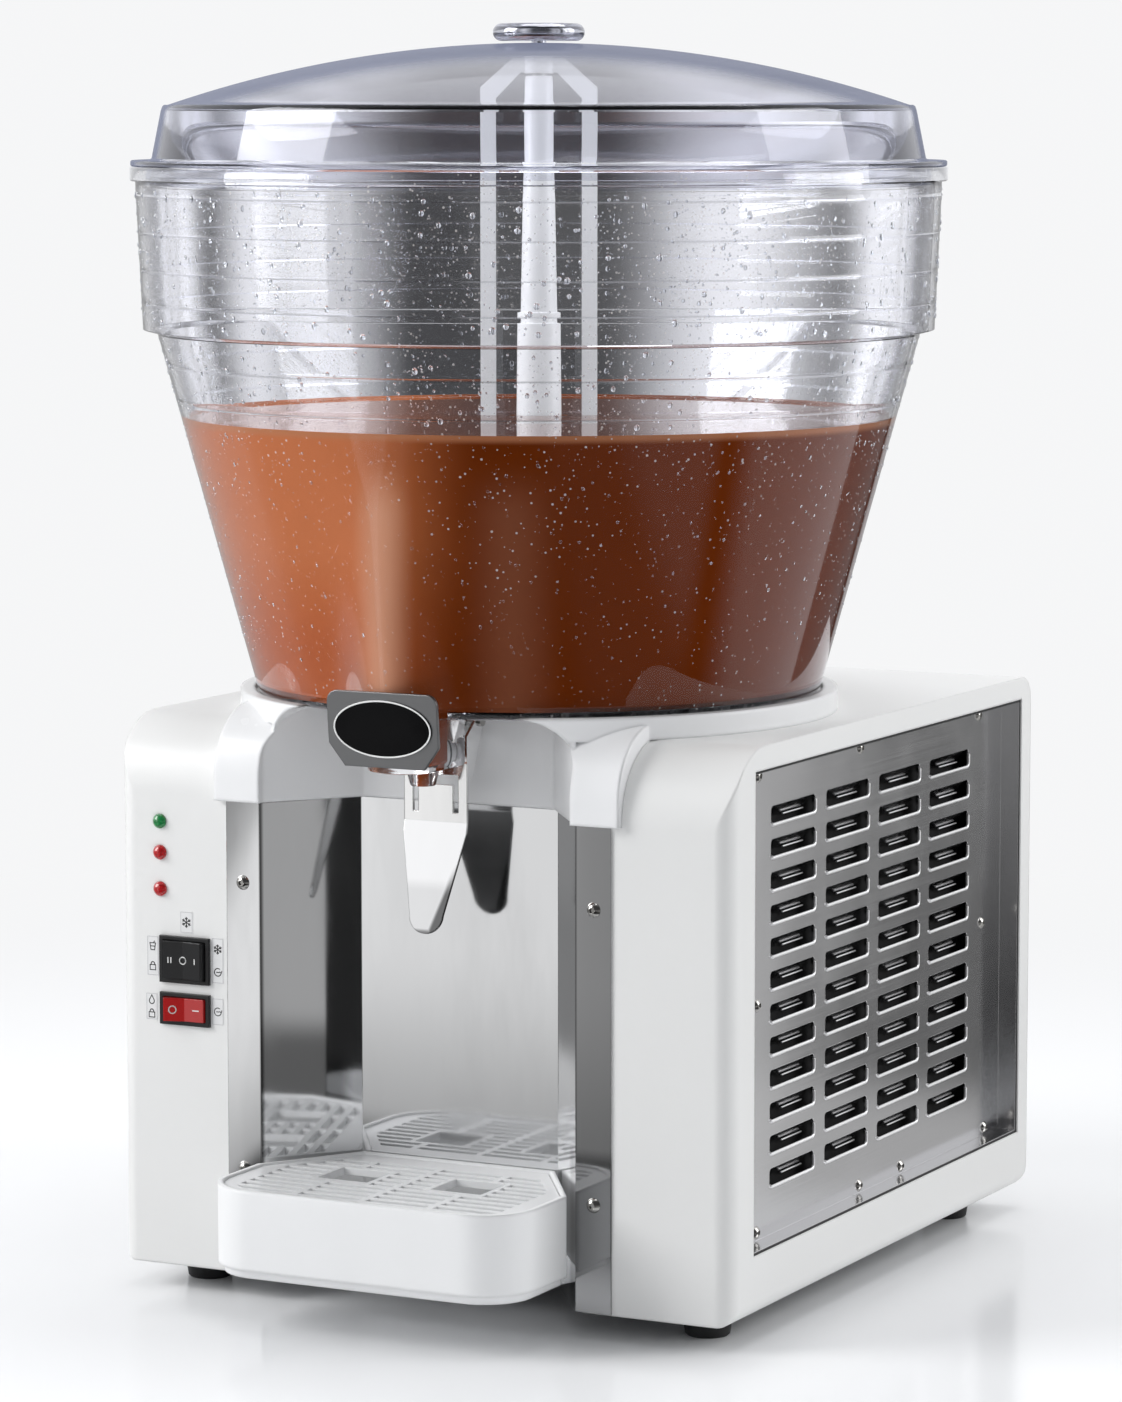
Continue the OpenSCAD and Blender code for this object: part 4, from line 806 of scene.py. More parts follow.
# The fork's glow is painted light that brightens the white plastic inside the bowl.
FORK_MOULDING = Moulding("fork_moulding", (0.88, 0.885, 0.9), 0.28, edge=0.0012, glow=0.2)
BADGE_METAL = BrushedSteel("badge_metal", (0.29, 0.293, 0.3), 0.34, Lay.ALONG_X, 0.0008)
BLACK_GLOSS = Moulding("black_gloss", (0.004, 0.004, 0.0045), 0.2, 0.00002, 0.0004, shine=0.08)
WHITE_LINE = Moulding("white_line", (0.85, 0.85, 0.84), 0.3, 0.00002, 0.0002)
SWITCH_BLACK = Moulding("switch_black", (0.011, 0.011, 0.012), 0.34, 0.0001, 0.0008)
SWITCH_RED = Moulding("switch_red", (0.42, 0.012, 0.012), 0.16, 0.00004, 0.0008, 0.5)
LENS_RED = LampLens("lens_red", (0.55, 0.008, 0.012))
LENS_GREEN = LampLens("lens_green", (0.01, 0.25, 0.06))
FOOT_RUBBER = Moulding("foot_rubber", (0.012, 0.012, 0.013), 0.6, 0.0003, 0.001)
FILTER_FOAM = Moulding("filter_foam", (0.006, 0.006, 0.0065), 0.9, 0.0008, 0.0)
SEAL_RUBBER = Moulding("seal_rubber", (0.66, 0.65, 0.62), 0.55, 0.0002, 0.0008)
NYLON = Moulding("nylon", (0.62, 0.57, 0.46), 0.45)
GREY_ENAMEL = CastMetal("grey_enamel", (0.09, 0.095, 0.1), 0.1, 0.4)
BLACK_ENAMEL = CastMetal("black_enamel", (0.012, 0.012, 0.013), 0.1, 0.3)
GALVANISED = CastMetal("galvanised", (0.42, 0.43, 0.44), 1.0, 0.42)
COPPER = CastMetal("copper", (0.62, 0.3, 0.18), 1.0, 0.3)
FIN_METAL = BrushedSteel("fin_metal", (0.62, 0.63, 0.64), 0.38, Lay.ALONG_Z, 0.0002)
COLD_STEEL = BrushedSteel("cold_steel", (0.68, 0.68, 0.69), 0.24, Lay.ALONG_X)
# The bowl's mist draws water beads as pale dots, which are painted highlights.
BOWL_CLEAR = ClearPlastic(
    "bowl_clear", (0.975, 0.977, 0.985), (0.9, 0.91, 0.98),
    base=0.004, gain=0.5, haze=0.008, mist=0.5, rings=RING_HEIGHTS,
)
# The lid's rim is painted shade on its outermost edge.
LID_CLEAR = ClearPlastic(
    "lid_clear", (0.93, 0.935, 0.96), (0.82, 0.83, 0.95), ior=1.4, base=0.015, gain=0.35, haze=0.01, rim=0.85
)
KNOB_CLEAR = ClearPlastic("knob_clear", (0.8, 0.81, 0.85), (0.8, 0.81, 0.9), base=0.2, gain=0.4)
WATER = WaterDrop("water_drop")
# The drink's light and dark tones are painted light and painted shade.
CHOCOLATE = ChocolateDrink(
    "chocolate_drink",
    light=(0.48, 0.142, 0.05), low=(0.4, 0.088, 0.02), dark=(0.125, 0.021, 0.002), froth=(0.42, 0.17, 0.08),
)
LABEL_WHITE = Moulding("label_white", (0.8, 0.8, 0.8), 0.5, 0.00002, 0.0)
LABEL_INK = Moulding("label_ink", (0.03, 0.03, 0.032), 0.5, 0.00002, 0.0)
LABEL_EDGE = Moulding("label_edge", (0.5, 0.5, 0.51), 0.5, 0.00002, 0.0)

NODE_FINISHES: Dict[Finish, Sequence[str]] = {
    WHITE_PAINT: ("cabinet_shell",),
    REAR_PAINT: ("rear_panel",),
    PANEL_STEEL: ("left_side_panel", "right_side_panel"),
    NICHE_STEEL: ("niche_liner",),
    LEVER_STEEL: ("tap_lever",),
    SCREW_STEEL: (
        "side_panel_screws", "rear_panel_screws", "liner_screws", "lever_pin", "lever_spring", "drive_shaft",
    ),
    WHITE_MOULDING: ("front_collar", "valve_plunger"),
    TRAY_MOULDING: ("drip_tray",),
    GRID_MOULDING: ("drip_grid",),
    FORK_MOULDING: ("standpipe", "agitator"),
    BADGE_METAL: ("badge_plate",),
    SWITCH_BLACK: ("mode_switch_body", "power_switch_body", "mode_rocker", "cord_gland", "fan_rotor"),
    SWITCH_RED: ("power_rocker",),
    LENS_RED: ("upper_red_lamp", "lower_red_lamp"),
    LENS_GREEN: ("green_lamp",),
    FOOT_RUBBER: ("rubber_feet", "compressor_grommets", "valve_seals"),
    FILTER_FOAM: ("air_filters",),
    SEAL_RUBBER: ("bowl_gasket",),
    NYLON: ("shaft_bush",),
    GREY_ENAMEL: ("gear_motor", "fan_motor"),
    BLACK_ENAMEL: ("compressor",),
    GALVANISED: ("base_pan", "motor_bracket", "fan_shroud", "control_box"),
    COPPER: (
        "condenser_tube", "filter_drier", "discharge_line", "liquid_line", "capillary_line", "suction_line",
    ),
    FIN_METAL: ("condenser_fins",),
    COLD_STEEL: ("evaporator",),
    BOWL_CLEAR: ("bowl",),
    LID_CLEAR: ("lid",),
    KNOB_CLEAR: ("lid_knob",),
    BLACK_GLOSS: ("badge_inlay",),
}


# Meshes


class Draft:
    """Points and faces of one piece, before it becomes an object."""

    def __init__(self) -> None:
        """Starts with nothing."""
        self.points: List[Vector] = []
        self.faces: List[Tuple[int, ...]] = []

    def rings(self, loops: Sequence[Sequence[Vector]], around: bool = True, capped: bool = False) -> None:
        """Joins loops of equally many points with four-sided faces.

        Args:
            loops: Closed loops of points.
            around: Whether the last loop joins the first.
            capped: Whether the first and last loops are closed with a face each.
        """
        start, size, count = len(self.points), len(loops[0]), len(loops)
        for loop in loops:
            self.points.extend(loop)
        for i in range(count if around else count - 1):
            a, b = start + i * size, start + (i + 1) % count * size
            self.faces.extend(
                (a + k, a + (k + 1) % size, b + (k + 1) % size, b + k) for k in range(size)
            )
        if capped:
            self.faces.append(tuple(reversed(range(start, start + size))))
            self.faces.append(tuple(range(start + (count - 1) * size, start + count * size)))

    def lathe(
        self,
        profile: Sequence[Triple],
        segments: int,
        swell: Optional[Callable[[float, float], float]] = None,
        centre: Pair = (0.0, AXIS_Y),
    ) -> None:
        """Turns a closed profile about an upright axis.

        Args:
            profile: Radius, height and share of the swelling for each point.
            segments: Number of steps around.
            swell: Added radius at an angle from the front and a height.
            centre: Where the axis stands.
        """
        loops = []
        for k in range(segments):
            a = 2 * math.pi * k / segments
            loop = []
            for r, z, share in profile:
                r += share * swell(a, z) if swell and share else 0
                loop.append(row(centre[0] + r * math.sin(a), centre[1] - r * math.cos(a), z))
            loops.append(loop)
        self.rings(loops)

    def stroke(
        self,
        line: Sequence[Pair],
        width: float,
        depth: float,
        lay: Callable[..., Vector],
        closed: bool = False,
    ) -> None:
        """Adds a line of a mark as thin straight bars.

        Args:
            line: Points on the mark's own plane.
            width: Width of the bars.
            depth: Thickness of the ink.
            lay: Turns a place on the plane and a height above it into a point.
            closed: Whether the last point joins the first.
        """
        ends = [*line[1:], line[0]] if closed else line[1:]
        for (x0, z0), (x1, z1) in zip(line, ends):
            length = math.hypot(x1 - x0, z1 - z0) or 1.0
            dx, dz = (x1 - x0) / length * width / 2, (z1 - z0) / length * width / 2
            corners = [
                (x0 - dx - dz, z0 - dz + dx), (x0 - dx + dz, z0 - dz - dx),
                (x1 + dx + dz, z1 + dz - dx), (x1 + dx - dz, z1 + dz + dx),
            ]
            loops = [[lay(u, v, h) for u, v in corners] for h in (0.0, depth)]
            self.rings(loops, around=False, capped=True)

    def make(self, name: str, finish: Finish, body: str, crease: float = 35.0) -> bpy.types.Object:
        """Makes the object, dresses it and lets it ride.

        Args:
            name: Name of the piece.
            finish: Its finish.
            body: Body that it moves with.
            crease: Angle in degrees above which an edge stays sharp.

        Returns:
            The object.
        """
        mesh = bpy.data.meshes.new(name)
        mesh.from_pydata([tuple(p) for p in self.points], [], self.faces)
        mesh.validate()
        tidy_normals(mesh)
        mesh.shade_smooth()
        mesh.set_sharp_from_angle(angle=math.radians(crease))
        mesh.materials.append(finish.material())
        made = placed(name, mesh)
        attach(made, body)
        LOG.info("%s: %d faces", name, len(self.faces))
        return made


def placed(name: str, data: Any) -> bpy.types.Object:
    """Makes an object and puts it in the scene.

    Args:
        name: Its name.
        data: Its mesh, light or camera.

    Returns:
        The object.
    """
    made = bpy.data.objects.new(name, data)
    bpy.context.scene.collection.objects.link(made)
    return made


def tidy_normals(mesh: bpy.types.Mesh) -> None:
    """Turns all faces of a mesh outward.

    Args:
        mesh: The mesh to change.
    """
    work = bmesh.new()
    work.from_mesh(mesh)
    bmesh.ops.recalc_face_normals(work, faces=work.faces)
    work.to_mesh(mesh)
    work.free()


def arc(centre: Pair, r: float, a0: float, a1: float, steps: int) -> List[Pair]:
    """Points on an arc.

    Args:
        centre: Middle of the arc.
        r: Radius.
        a0: First angle in degrees.
        a1: Last angle in degrees.
        steps: Number of steps.

    Returns:
        The points, both ends among them.
    """
    turns = [math.radians(a0 + (a1 - a0) * i / steps) for i in range(steps + 1)]
    return [(centre[0] + r * math.cos(t), centre[1] + r * math.sin(t)) for t in turns]


# The bowl and what is in it


@dataclass(frozen=True)
class Dew:
    """One zone of condensed drops: how many, from which height, how far, how crowded, and their sizes."""

    count: int
    start: float
    reach: float
    crowding: float
    small: float
    more: float
    squat: float


@dataclass
class Bowl:
    """The clear bowl with its spout, the drink in it and the water on it."""

    seat_z: float = 323.5
    floor_t: float = 5.0
    wall: float = 4.0
    hole_r: float = 90.0
    neck_t: float = 4.0
    neck_top: float = 339.5
    foot_round: float = 7.0
    foot_flat: float = 30.0
    rim_z: float = 602.0
    rim_top: float = 610.0
    rim_r: float = 222.0
    rim_round: float = 0.8
    mouth_r: float = 214.0
    wall_line: Tuple[Pair, ...] = ((153.8, 323.5), (207.7, 520.0), (215.4, 522.0), (219.0, 602.0))
    ring_rise: float = 0.08
    ring_half: float = 0.9
    swell_reach: float = 22.8
    swell_top: float = 452.0
    swell_half: float = 17.5
    swell_blend: float = 0.12
    swell_front: float = 0.3
    segments: int = 288
    spout_y: float = -11.5
    spout_r: float = 20.0
    spout_half: float = 19.2
    spout_rear: float = 21.4
    spout_z: float = 296.0
    spout_corner: float = 3.0
    nozzle_y: float = 8.0
    nozzle_long: float = 10.0
    nozzle_bore: float = 3.5
    ear_x: Pair = (12.0, 16.0)
    ear_r: float = 3.2
    pin: Pair = (37.0, 318.5)
    skin: float = 1.2
    column_r: float = 16.0
    under_z: Pair = (374.0, 366.0)
    drop_seed: int = 7
    drop_tall: float = 1.3
    drop_clear: float = 1.5
    dew: Tuple[Dew, ...] = (
        Dew(3600, 478.0, 120.0, 1.0, 0.42, 1.3, 0.95),
        Dew(2000, 470.0, -120.0, 1.6, 0.3, 0.7, 1.0),
    )

    def wall_r(self, z: float) -> float:
        """Outer radius of the wall at a height, with its raised rings."""
        bead = sum(max(0.0, 1 - ((z - h) / self.ring_half) ** 2) for h in RING_HEIGHTS)
        return polyline_value(self.wall_line, z) + self.ring_rise * bead

    def swell(self, a: float, z: float) -> float:
        """Added radius of the spout's ridge.

        Args:
            a: Angle from the front.
            z: Height.

        Returns:
            Millimetres beyond the round wall.
        """
        if math.cos(a) < self.swell_front:
            return 0.0
        up = (self.swell_top - z) / (self.swell_top - self.seat_z)
        rise = (up + math.sqrt(up * up + self.swell_blend * self.swell_blend)) / 2
        side = polyline_value(self.wall_line, max(z, self.seat_z)) * math.sin(a) / self.swell_half
        return self.swell_reach * rise * math.exp(-0.5 * side * side)

    def heights(self, low: float, high: float) -> List[float]:
        """Heights at which the wall is drawn, closer together at its rings.

        Args:
            low: First height.
            high: Last height.

        Returns:
            Rising heights.
        """
        steps = max(2, round((high - low) / 5))
        found = {low + (high - low) * i / steps for i in range(steps + 1)}
        found |= {z for _, z in self.wall_line if low < z < high}
        for h in RING_HEIGHTS:
            found |= {h + d for d in (-1.0, -0.6, 0.0, 0.6, 1.0) if low < h + d < high}
        return sorted(found)

    def wall_profile(self) -> List[Triple]:
        """The closed section of the bowl's wall, floor and neck.

        Returns:
            Radius, height and share of the swelling for each point.
        """
        foot, bow, top = self.foot_round, self.rim_round, self.rim_top
        seat, floor_z = self.seat_z, self.seat_z + self.floor_t
        neck = self.hole_r + self.neck_t
        foot_r = self.wall_line[0][0]
        shape = still((self.hole_r, seat), (foot_r - self.foot_flat, seat))
        base = self.wall_r(seat + foot) - foot
        for t in map(math.radians, (0, 22, 45, 68)):
            shape.append((base + foot * math.sin(t), seat + foot - foot * math.cos(t), min(1.0, t + 0.3)))
        shape += [(self.wall_r(z), z, 1.0) for z in self.heights(seat + foot, self.rim_z)]
        shape += still(
            (self.rim_r - bow, self.rim_z), (self.rim_r, self.rim_z + bow), (self.rim_r, top - bow),
            (self.rim_r - bow, top), (self.mouth_r + bow, top), (self.mouth_r, top - bow),
        )
        for z in reversed(self.heights(floor_z + 2, self.rim_z - 1)):
            shape.append((polyline_value(self.wall_line, z) - self.wall, z, 1.0))
        shape.append((foot_r - self.wall - 3, floor_z, 0.6))
        shape += still(
            (neck + 1, floor_z), (neck, floor_z + 1), (neck, self.neck_top), (self.hole_r, self.neck_top)
        )
        return shape

    def spout_outline(self, inset: float, rear: float) -> List[Pair]:
        """Plan of the spout's block.

        Args:
            inset: How far it is drawn in.
            rear: Where it ends at the back.

        Returns:
            A closed loop of points.
        """
        r = self.spout_r - inset
        side = self.spout_half - inset
        corner = self.spout_corner
        loop = arc((0.0, self.spout_y), r, 196, 344, 24)
        loop += arc((side - corner, rear - corner), corner, 0, 90, 5)
        loop += arc((corner - side, rear - corner), corner, 90, 180, 5)
        return loop

    def block(self, draft: Draft, inset: float, rear: float, levels: Sequence[Pair]) -> None:
        """Adds a spout block.

        Args:
            draft: Where it goes.
            inset: How far its plan is drawn in.
            rear: Where it ends at the back.
            levels: Height and further inset of each loop.
        """
        draft.rings(
            [[row(x, y, z) for x, y in self.spout_outline(inset + more, rear - more)] for z, more in levels],
            around=False,
            capped=True,
        )

    def build_wall(self) -> None:
        """Makes the clear bowl with its spout, nozzle and ears."""
        draft = Draft()
        draft.lathe(self.wall_profile(), self.segments, self.swell)
        low, seat = self.spout_z, self.seat_z
        levels = [(low, 2.2), (low + 0.6, 0.7), (low + 2, 0.0), (seat + 1.5, 0.0), (seat + 3, 1.0)]
        self.block(draft, 0.0, self.spout_rear, levels)
        tip, bore = low - self.nozzle_long, self.nozzle_bore
        nozzle = still((bore, tip), (6.4, tip), (6.9, tip + 0.6), (9.5, low + 0.5), (bore, low + 0.5))
        draft.lathe(nozzle, 48, centre=(0.0, self.nozzle_y))
        loop = arc(self.pin, self.ear_r, 180, 360, 12)
        loop += [(self.pin[0] + way * self.ear_r, seat + 1) for way in (1, -1)]
        for side in (-1, 1):
            ear = [[row(side * x, y, z) for y, z in loop] for x in self.ear_x]
            draft.rings(ear, around=False, capped=True)
        wall = draft.make("clear_bowl", BOWL_CLEAR, "bowl")
        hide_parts("bowl")

    def build_drink(self) -> None:
        """Makes the drink, which fills the bowl and its spout."""
        top, skin = DRINK_LEVEL, self.skin
        low = self.seat_z + self.floor_t + 0.3
        neck = self.hole_r + self.neck_t + 1
        profile: List[Triple] = [(neck, low, 0.0), (self.wall_line[0][0] - skin - 4, low, 0.6)]
        for z in self.heights(low + 2, top + 1.2):
            profile.append((polyline_value(self.wall_line, z) - skin, z, 1.0))
        edge = profile[-1][0]
        profile += [(edge - 1.2, top + 0.5, 1.0), (edge - 3.5, top + 0.1, 1.0), (edge - 8, top, 1.0)]
        profile += still((edge - 40, top), (90.0, top), (40.0, top), (self.column_r, top))
        profile += still((self.column_r, self.under_z[0]), (neck, self.under_z[1]))
        draft = Draft()
        draft.lathe(profile, self.segments, self.swell)
        floor, tip = self.spout_z + 4, self.spout_z - self.nozzle_long + 0.4
        self.block(draft, skin, 2.0, [(floor, 1.0), (floor + 1, 0.0), (low + 6, 0.0), (low + 8, 2.0)])
        fill = self.nozzle_bore - 0.3
        stream = still((0.05, tip), (fill, tip), (fill, floor + 0.5), (0.05, floor + 0.5))
        draft.lathe(stream, 32, centre=(0.0, self.nozzle_y))
        draft.make("chocolate_drink", CHOCOLATE, "bowl")

    def build_water(self) -> None:
        """Makes the condensed drops on the outside of the bowl."""
        draw = random.Random(self.drop_seed)
        draft = Draft()
        for zone in self.dew:
            for _ in range(zone.count):
                z = zone.start + zone.reach * draw.random() ** zone.crowding
                size = zone.small + zone.more * draw.random() ** 5
                turn = draw.uniform(-math.pi, math.pi)
                self.drop(draft, turn, z, size, draw.uniform(zone.squat, self.drop_tall))
        water = draft.make("condensed_drops", WATER, "bowl", 60.0)
        water.visible_shadow = False

    def drop(self, draft: Draft, a: float, z: float, size: float, tall: float) -> None:
        """Adds one drop, a flat lens on the wall.

        Args:
            draft: Where it goes.
            a: Angle from the front.
            z: Height.
            size: Half its width.
            tall: Its height over its width.
        """
        if any(abs(z - h) < size * tall + self.drop_clear for _, h in self.wall_line[1:]):
            return
        sides = 10 if size > 0.9 else 7
        base_r = polyline_value(self.wall_line, z)

        def lay(u: float, v: float, lift: float) -> Vector:
            """A point on the wall beside the drop's middle.

            Args:
                u: Millimetres around the wall.
                v: Millimetres up it.
                lift: Millimetres out from it.

            Returns:
                The point.
            """
            turn = a + u / base_r
            r = polyline_value(self.wall_line, z + v) + self.swell(turn, z + v) + lift
            return row(r * math.sin(turn), AXIS_Y - r * math.cos(turn), z + v)

        turns = [2 * math.pi * k / sides for k in range(sides)]
        loops = []
        for share, lift in ((1.0, 0.02), (0.93, 0.24), (0.7, 0.44), (0.35, 0.54)):
            wide, high = size * share, size * tall * share
            loops.append([lay(wide * math.cos(t), high * math.sin(t), size * lift) for t in turns])
        draft.rings(loops, around=False, capped=True)

    def build(self) -> None:
        """Makes all pieces of the bowl."""
        self.build_wall()
        self.build_drink()
        self.build_water()


@dataclass
class PanelTrim:
    """The slots' lips and vane edges, bright as painted highlights, and thin seals around the side panels.
    """

    face_x: float = 172.0
    first_y: float = 73.6
    pitch_y: float = 71.4
    columns: int = 4
    low_z: float = 267.3
    pitch_z: float = 17.6
    rows: int = 12
    length: float = 57.0
    height: float = 10.0
    corner: float = 2.5
    lip_r: float = 0.9
    vane_in: float = 6.4
    vane_low: float = 2.4
    edge_r: float = 0.5
    sides: int = 8
    opening: Tuple[Pair, Pair] = ((28.0, 46.7), (396.0, 301.3))
    flange: float = 10.0
    seal: float = 1.4
    seal_t: float = 1.2

    def path(self) -> List[Pair]:
        """The lip's middle line on one slot, along its lower edge and up its rear end.

        Returns:
            Points from the slot's lower front corner.
        """
        r, far, up = self.corner, self.length, self.height * 0.72
        line = arc((r, r), r, 215, 270, 4)
        return line + arc((far - r, r), r, 270, 360, 5) + [(far, up)]

    def build(self) -> None:
        """Makes the trim of both panels."""
        self.build_lips()
        self.build_seals()

    def build_lips(self) -> None:
        """Makes all lips and vane edges on both panels."""
        draft = Draft()
        line = self.path()
        # The vane edges are bright bars that stand for the vanes' edges and carry their glint as a painted
        # highlight.
        vane = [(self.length * 0.5, self.vane_low), (self.length - self.corner, self.vane_low)]
        for side in (-1, 1):
            for column in range(self.columns):
                for level in range(self.rows):
                    y0 = self.first_y + column * self.pitch_y
                    z0 = self.low_z - level * self.pitch_z
                    face = (side, self.face_x, self.lip_r)
                    draft.rings([self.ring(line, i, face, y0, z0) for i in range(len(line))], False, True)
                    inside = (side, self.face_x - self.vane_in, self.edge_r)
                    draft.rings([self.ring(vane, i, inside, y0, z0) for i in range(2)], False, True)
        draft.make("louvre_lips", LIP_STEEL, "cabinet", 60.0)

    def build_seals(self) -> None:
        """Makes the thin dark seals between the panels and the cabinet."""
        draft = Draft()
        inset = self.seal / 2
        y0, z0 = (low + inset for low in self.opening[0])
        y1, z1 = (high - inset for high in self.opening[1])
        for side in (-1, 1):

            def lay(u: float, v: float, h: float) -> Vector:
                """A point on the panel's face."""
                return row(side * (self.face_x + self.flange + h), u, v)

            draft.stroke([(y0, z0), (y1, z0), (y1, z1), (y0, z1)], self.seal, self.seal_t, lay, closed=True)
        draft.make("panel_seals", FOOT_RUBBER, "cabinet")

    def ring(self, line: Sequence[Pair], i: int, face: Triple, y0: float, z0: float) -> List[Vector]:
        """One loop of a lip's tube.

        Args:
            line: The lip's middle line.
            i: Which of its points.
            face: 1 for the right panel or -1 for the left one, distance from the middle, tube's radius.
            y0: Front end of the slot.
            z0: Lower edge of the slot.

        Returns:
            The loop's points.
        """
        (y, z), a, b = line[i], line[max(i - 1, 0)], line[min(i + 1, len(line) - 1)]
        along = math.atan2(b[1] - a[1], b[0] - a[0])
        side, x, r = face
        loop = []
        for k in range(self.sides):
            t = 2 * math.pi * k / self.sides
            out, over = r * math.cos(t), r * math.sin(t)
            place = (y0 + y - over * math.sin(along), z0 + z + over * math.cos(along))
            loop.append(row(side * (x + out), *place))
        return loop


@dataclass
class Lid:
    """The clear domed lid."""

    rim_top: float = 610.0
    flange_t: float = 3.0
    flange_r: float = 221.5
    lip_r: float = 213.5
    lip_h: float = 5.0
    base_r: float = 210.0
    shoulder_r: float = 204.0
    shoulder_z: float = 642.8
    dome_top: float = 676.2
    wall: float = 3.0
    bow: float = 0.6
    seat_gap: float = 0.05
    peg_r: float = 4.1
    segments: int = 256

    def dome(self, drop: float, steps: int = 40) -> List[Pair]:
        """The dome's section from its edge to the middle.

        Args:
            drop: How far below the outside it lies.
            steps: Number of steps.

        Returns:
            Radius and height of each point.
        """
        rise = self.dome_top - self.shoulder_z
        reach = self.shoulder_r - 3
        ball = (reach * reach + rise * rise) / (2 * rise)
        found = []
        for i in range(steps + 1):
            r = reach + (self.peg_r - reach) * i / steps
            found.append((r, self.dome_top - ball + math.sqrt(ball * ball - r * r) - drop))
        return found

    def build(self) -> None:
        """Makes the lid."""
        t, top, bow = self.wall, self.rim_top, self.bow
        up, low = top + self.flange_t, top - self.lip_h
        wide, crest, knee = self.flange_r, self.shoulder_r, self.shoulder_z
        profile = [
            (self.lip_r - t, low), (self.lip_r, low), (self.lip_r, top + self.seat_gap),
            (wide - 0.5, top + self.seat_gap), (wide, top + bow), (wide, up - bow), (wide - bow, up),
            (self.base_r + 1.5, up), (self.base_r, up + 1.2),
            (crest + 0.8, knee - 3), (crest, knee - 0.8), (crest - 1, knee),
            *self.dome(0.0), *reversed(self.dome(t)),
            (crest - t - 0.5, knee - 4), (self.base_r - t, up - 0.5), (self.lip_r - t, top - 1),
        ]
        draft = Draft()
        draft.lathe(still(*profile), self.segments)
        lid = draft.make("clear_lid", LID_CLEAR, "lid")
        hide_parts("lid")


# Marks


class Sign(Enum):
    """Plain pictograms beside the switches, as strokes on a square two units wide."""

    FLAKE = "flake"
    CUP = "cup"
    TURN = "turn"
    DROP = "drop"
    LOCK = "lock"


def sign_strokes(sign: Sign) -> List[List[Pair]]:
    """The strokes of a pictogram.

    Args:
        sign: Which one.

    Returns:
        Lists of points from -1 to 1.
    """
    if sign is Sign.FLAKE:
        arms = []
        for d in (90, 30, 150):
            x, z = math.cos(math.radians(d)), math.sin(math.radians(d))
            arms.append([(-x, -z), (x, z)])
            for s in (-1, 1):
                for turn in (-35, 35):
                    t = math.radians(d + turn)
                    hub = (0.5 * s * x, 0.5 * s * z)
                    arms.append([hub, (hub[0] + 0.4 * s * math.cos(t), hub[1] + 0.4 * s * math.sin(t))])
        return arms
    if sign is Sign.CUP:
        return [
            [(-0.7, 0.6), (-0.45, -0.9), (0.45, -0.9), (0.7, 0.6), (-0.7, 0.6)],
            [(-0.55, -0.1), (0.55, -0.1)],
            [(0.15, 0.6), (0.45, 1.0)],
        ]
    if sign is Sign.TURN:
        head = [(0.5, 0.1), (0.84, -0.15), (1.0, 0.3)]
        return [arc((0.0, 0.0), 0.85, 60, 350, 14), head, [(-0.3, 0), (0.3, 0)]]
    if sign is Sign.DROP:
        return [[(0.0, 1.0)] + arc((0.0, -0.3), 0.62, 150, 390, 12) + [(0.0, 1.0)]]
    return [
        [(-0.7, -0.9), (0.7, -0.9), (0.7, 0.2), (-0.7, 0.2), (-0.7, -0.9)],
        [(-0.45, 0.2)] + arc((0.0, 0.4), 0.45, 180, 0, 8) + [(0.45, 0.2)],
    ]


@dataclass(frozen=True)
class Label:
    """One white label with its pictograms from top to bottom."""

    centre: Pair
    size: Pair
    signs: Tuple[Sign, ...]


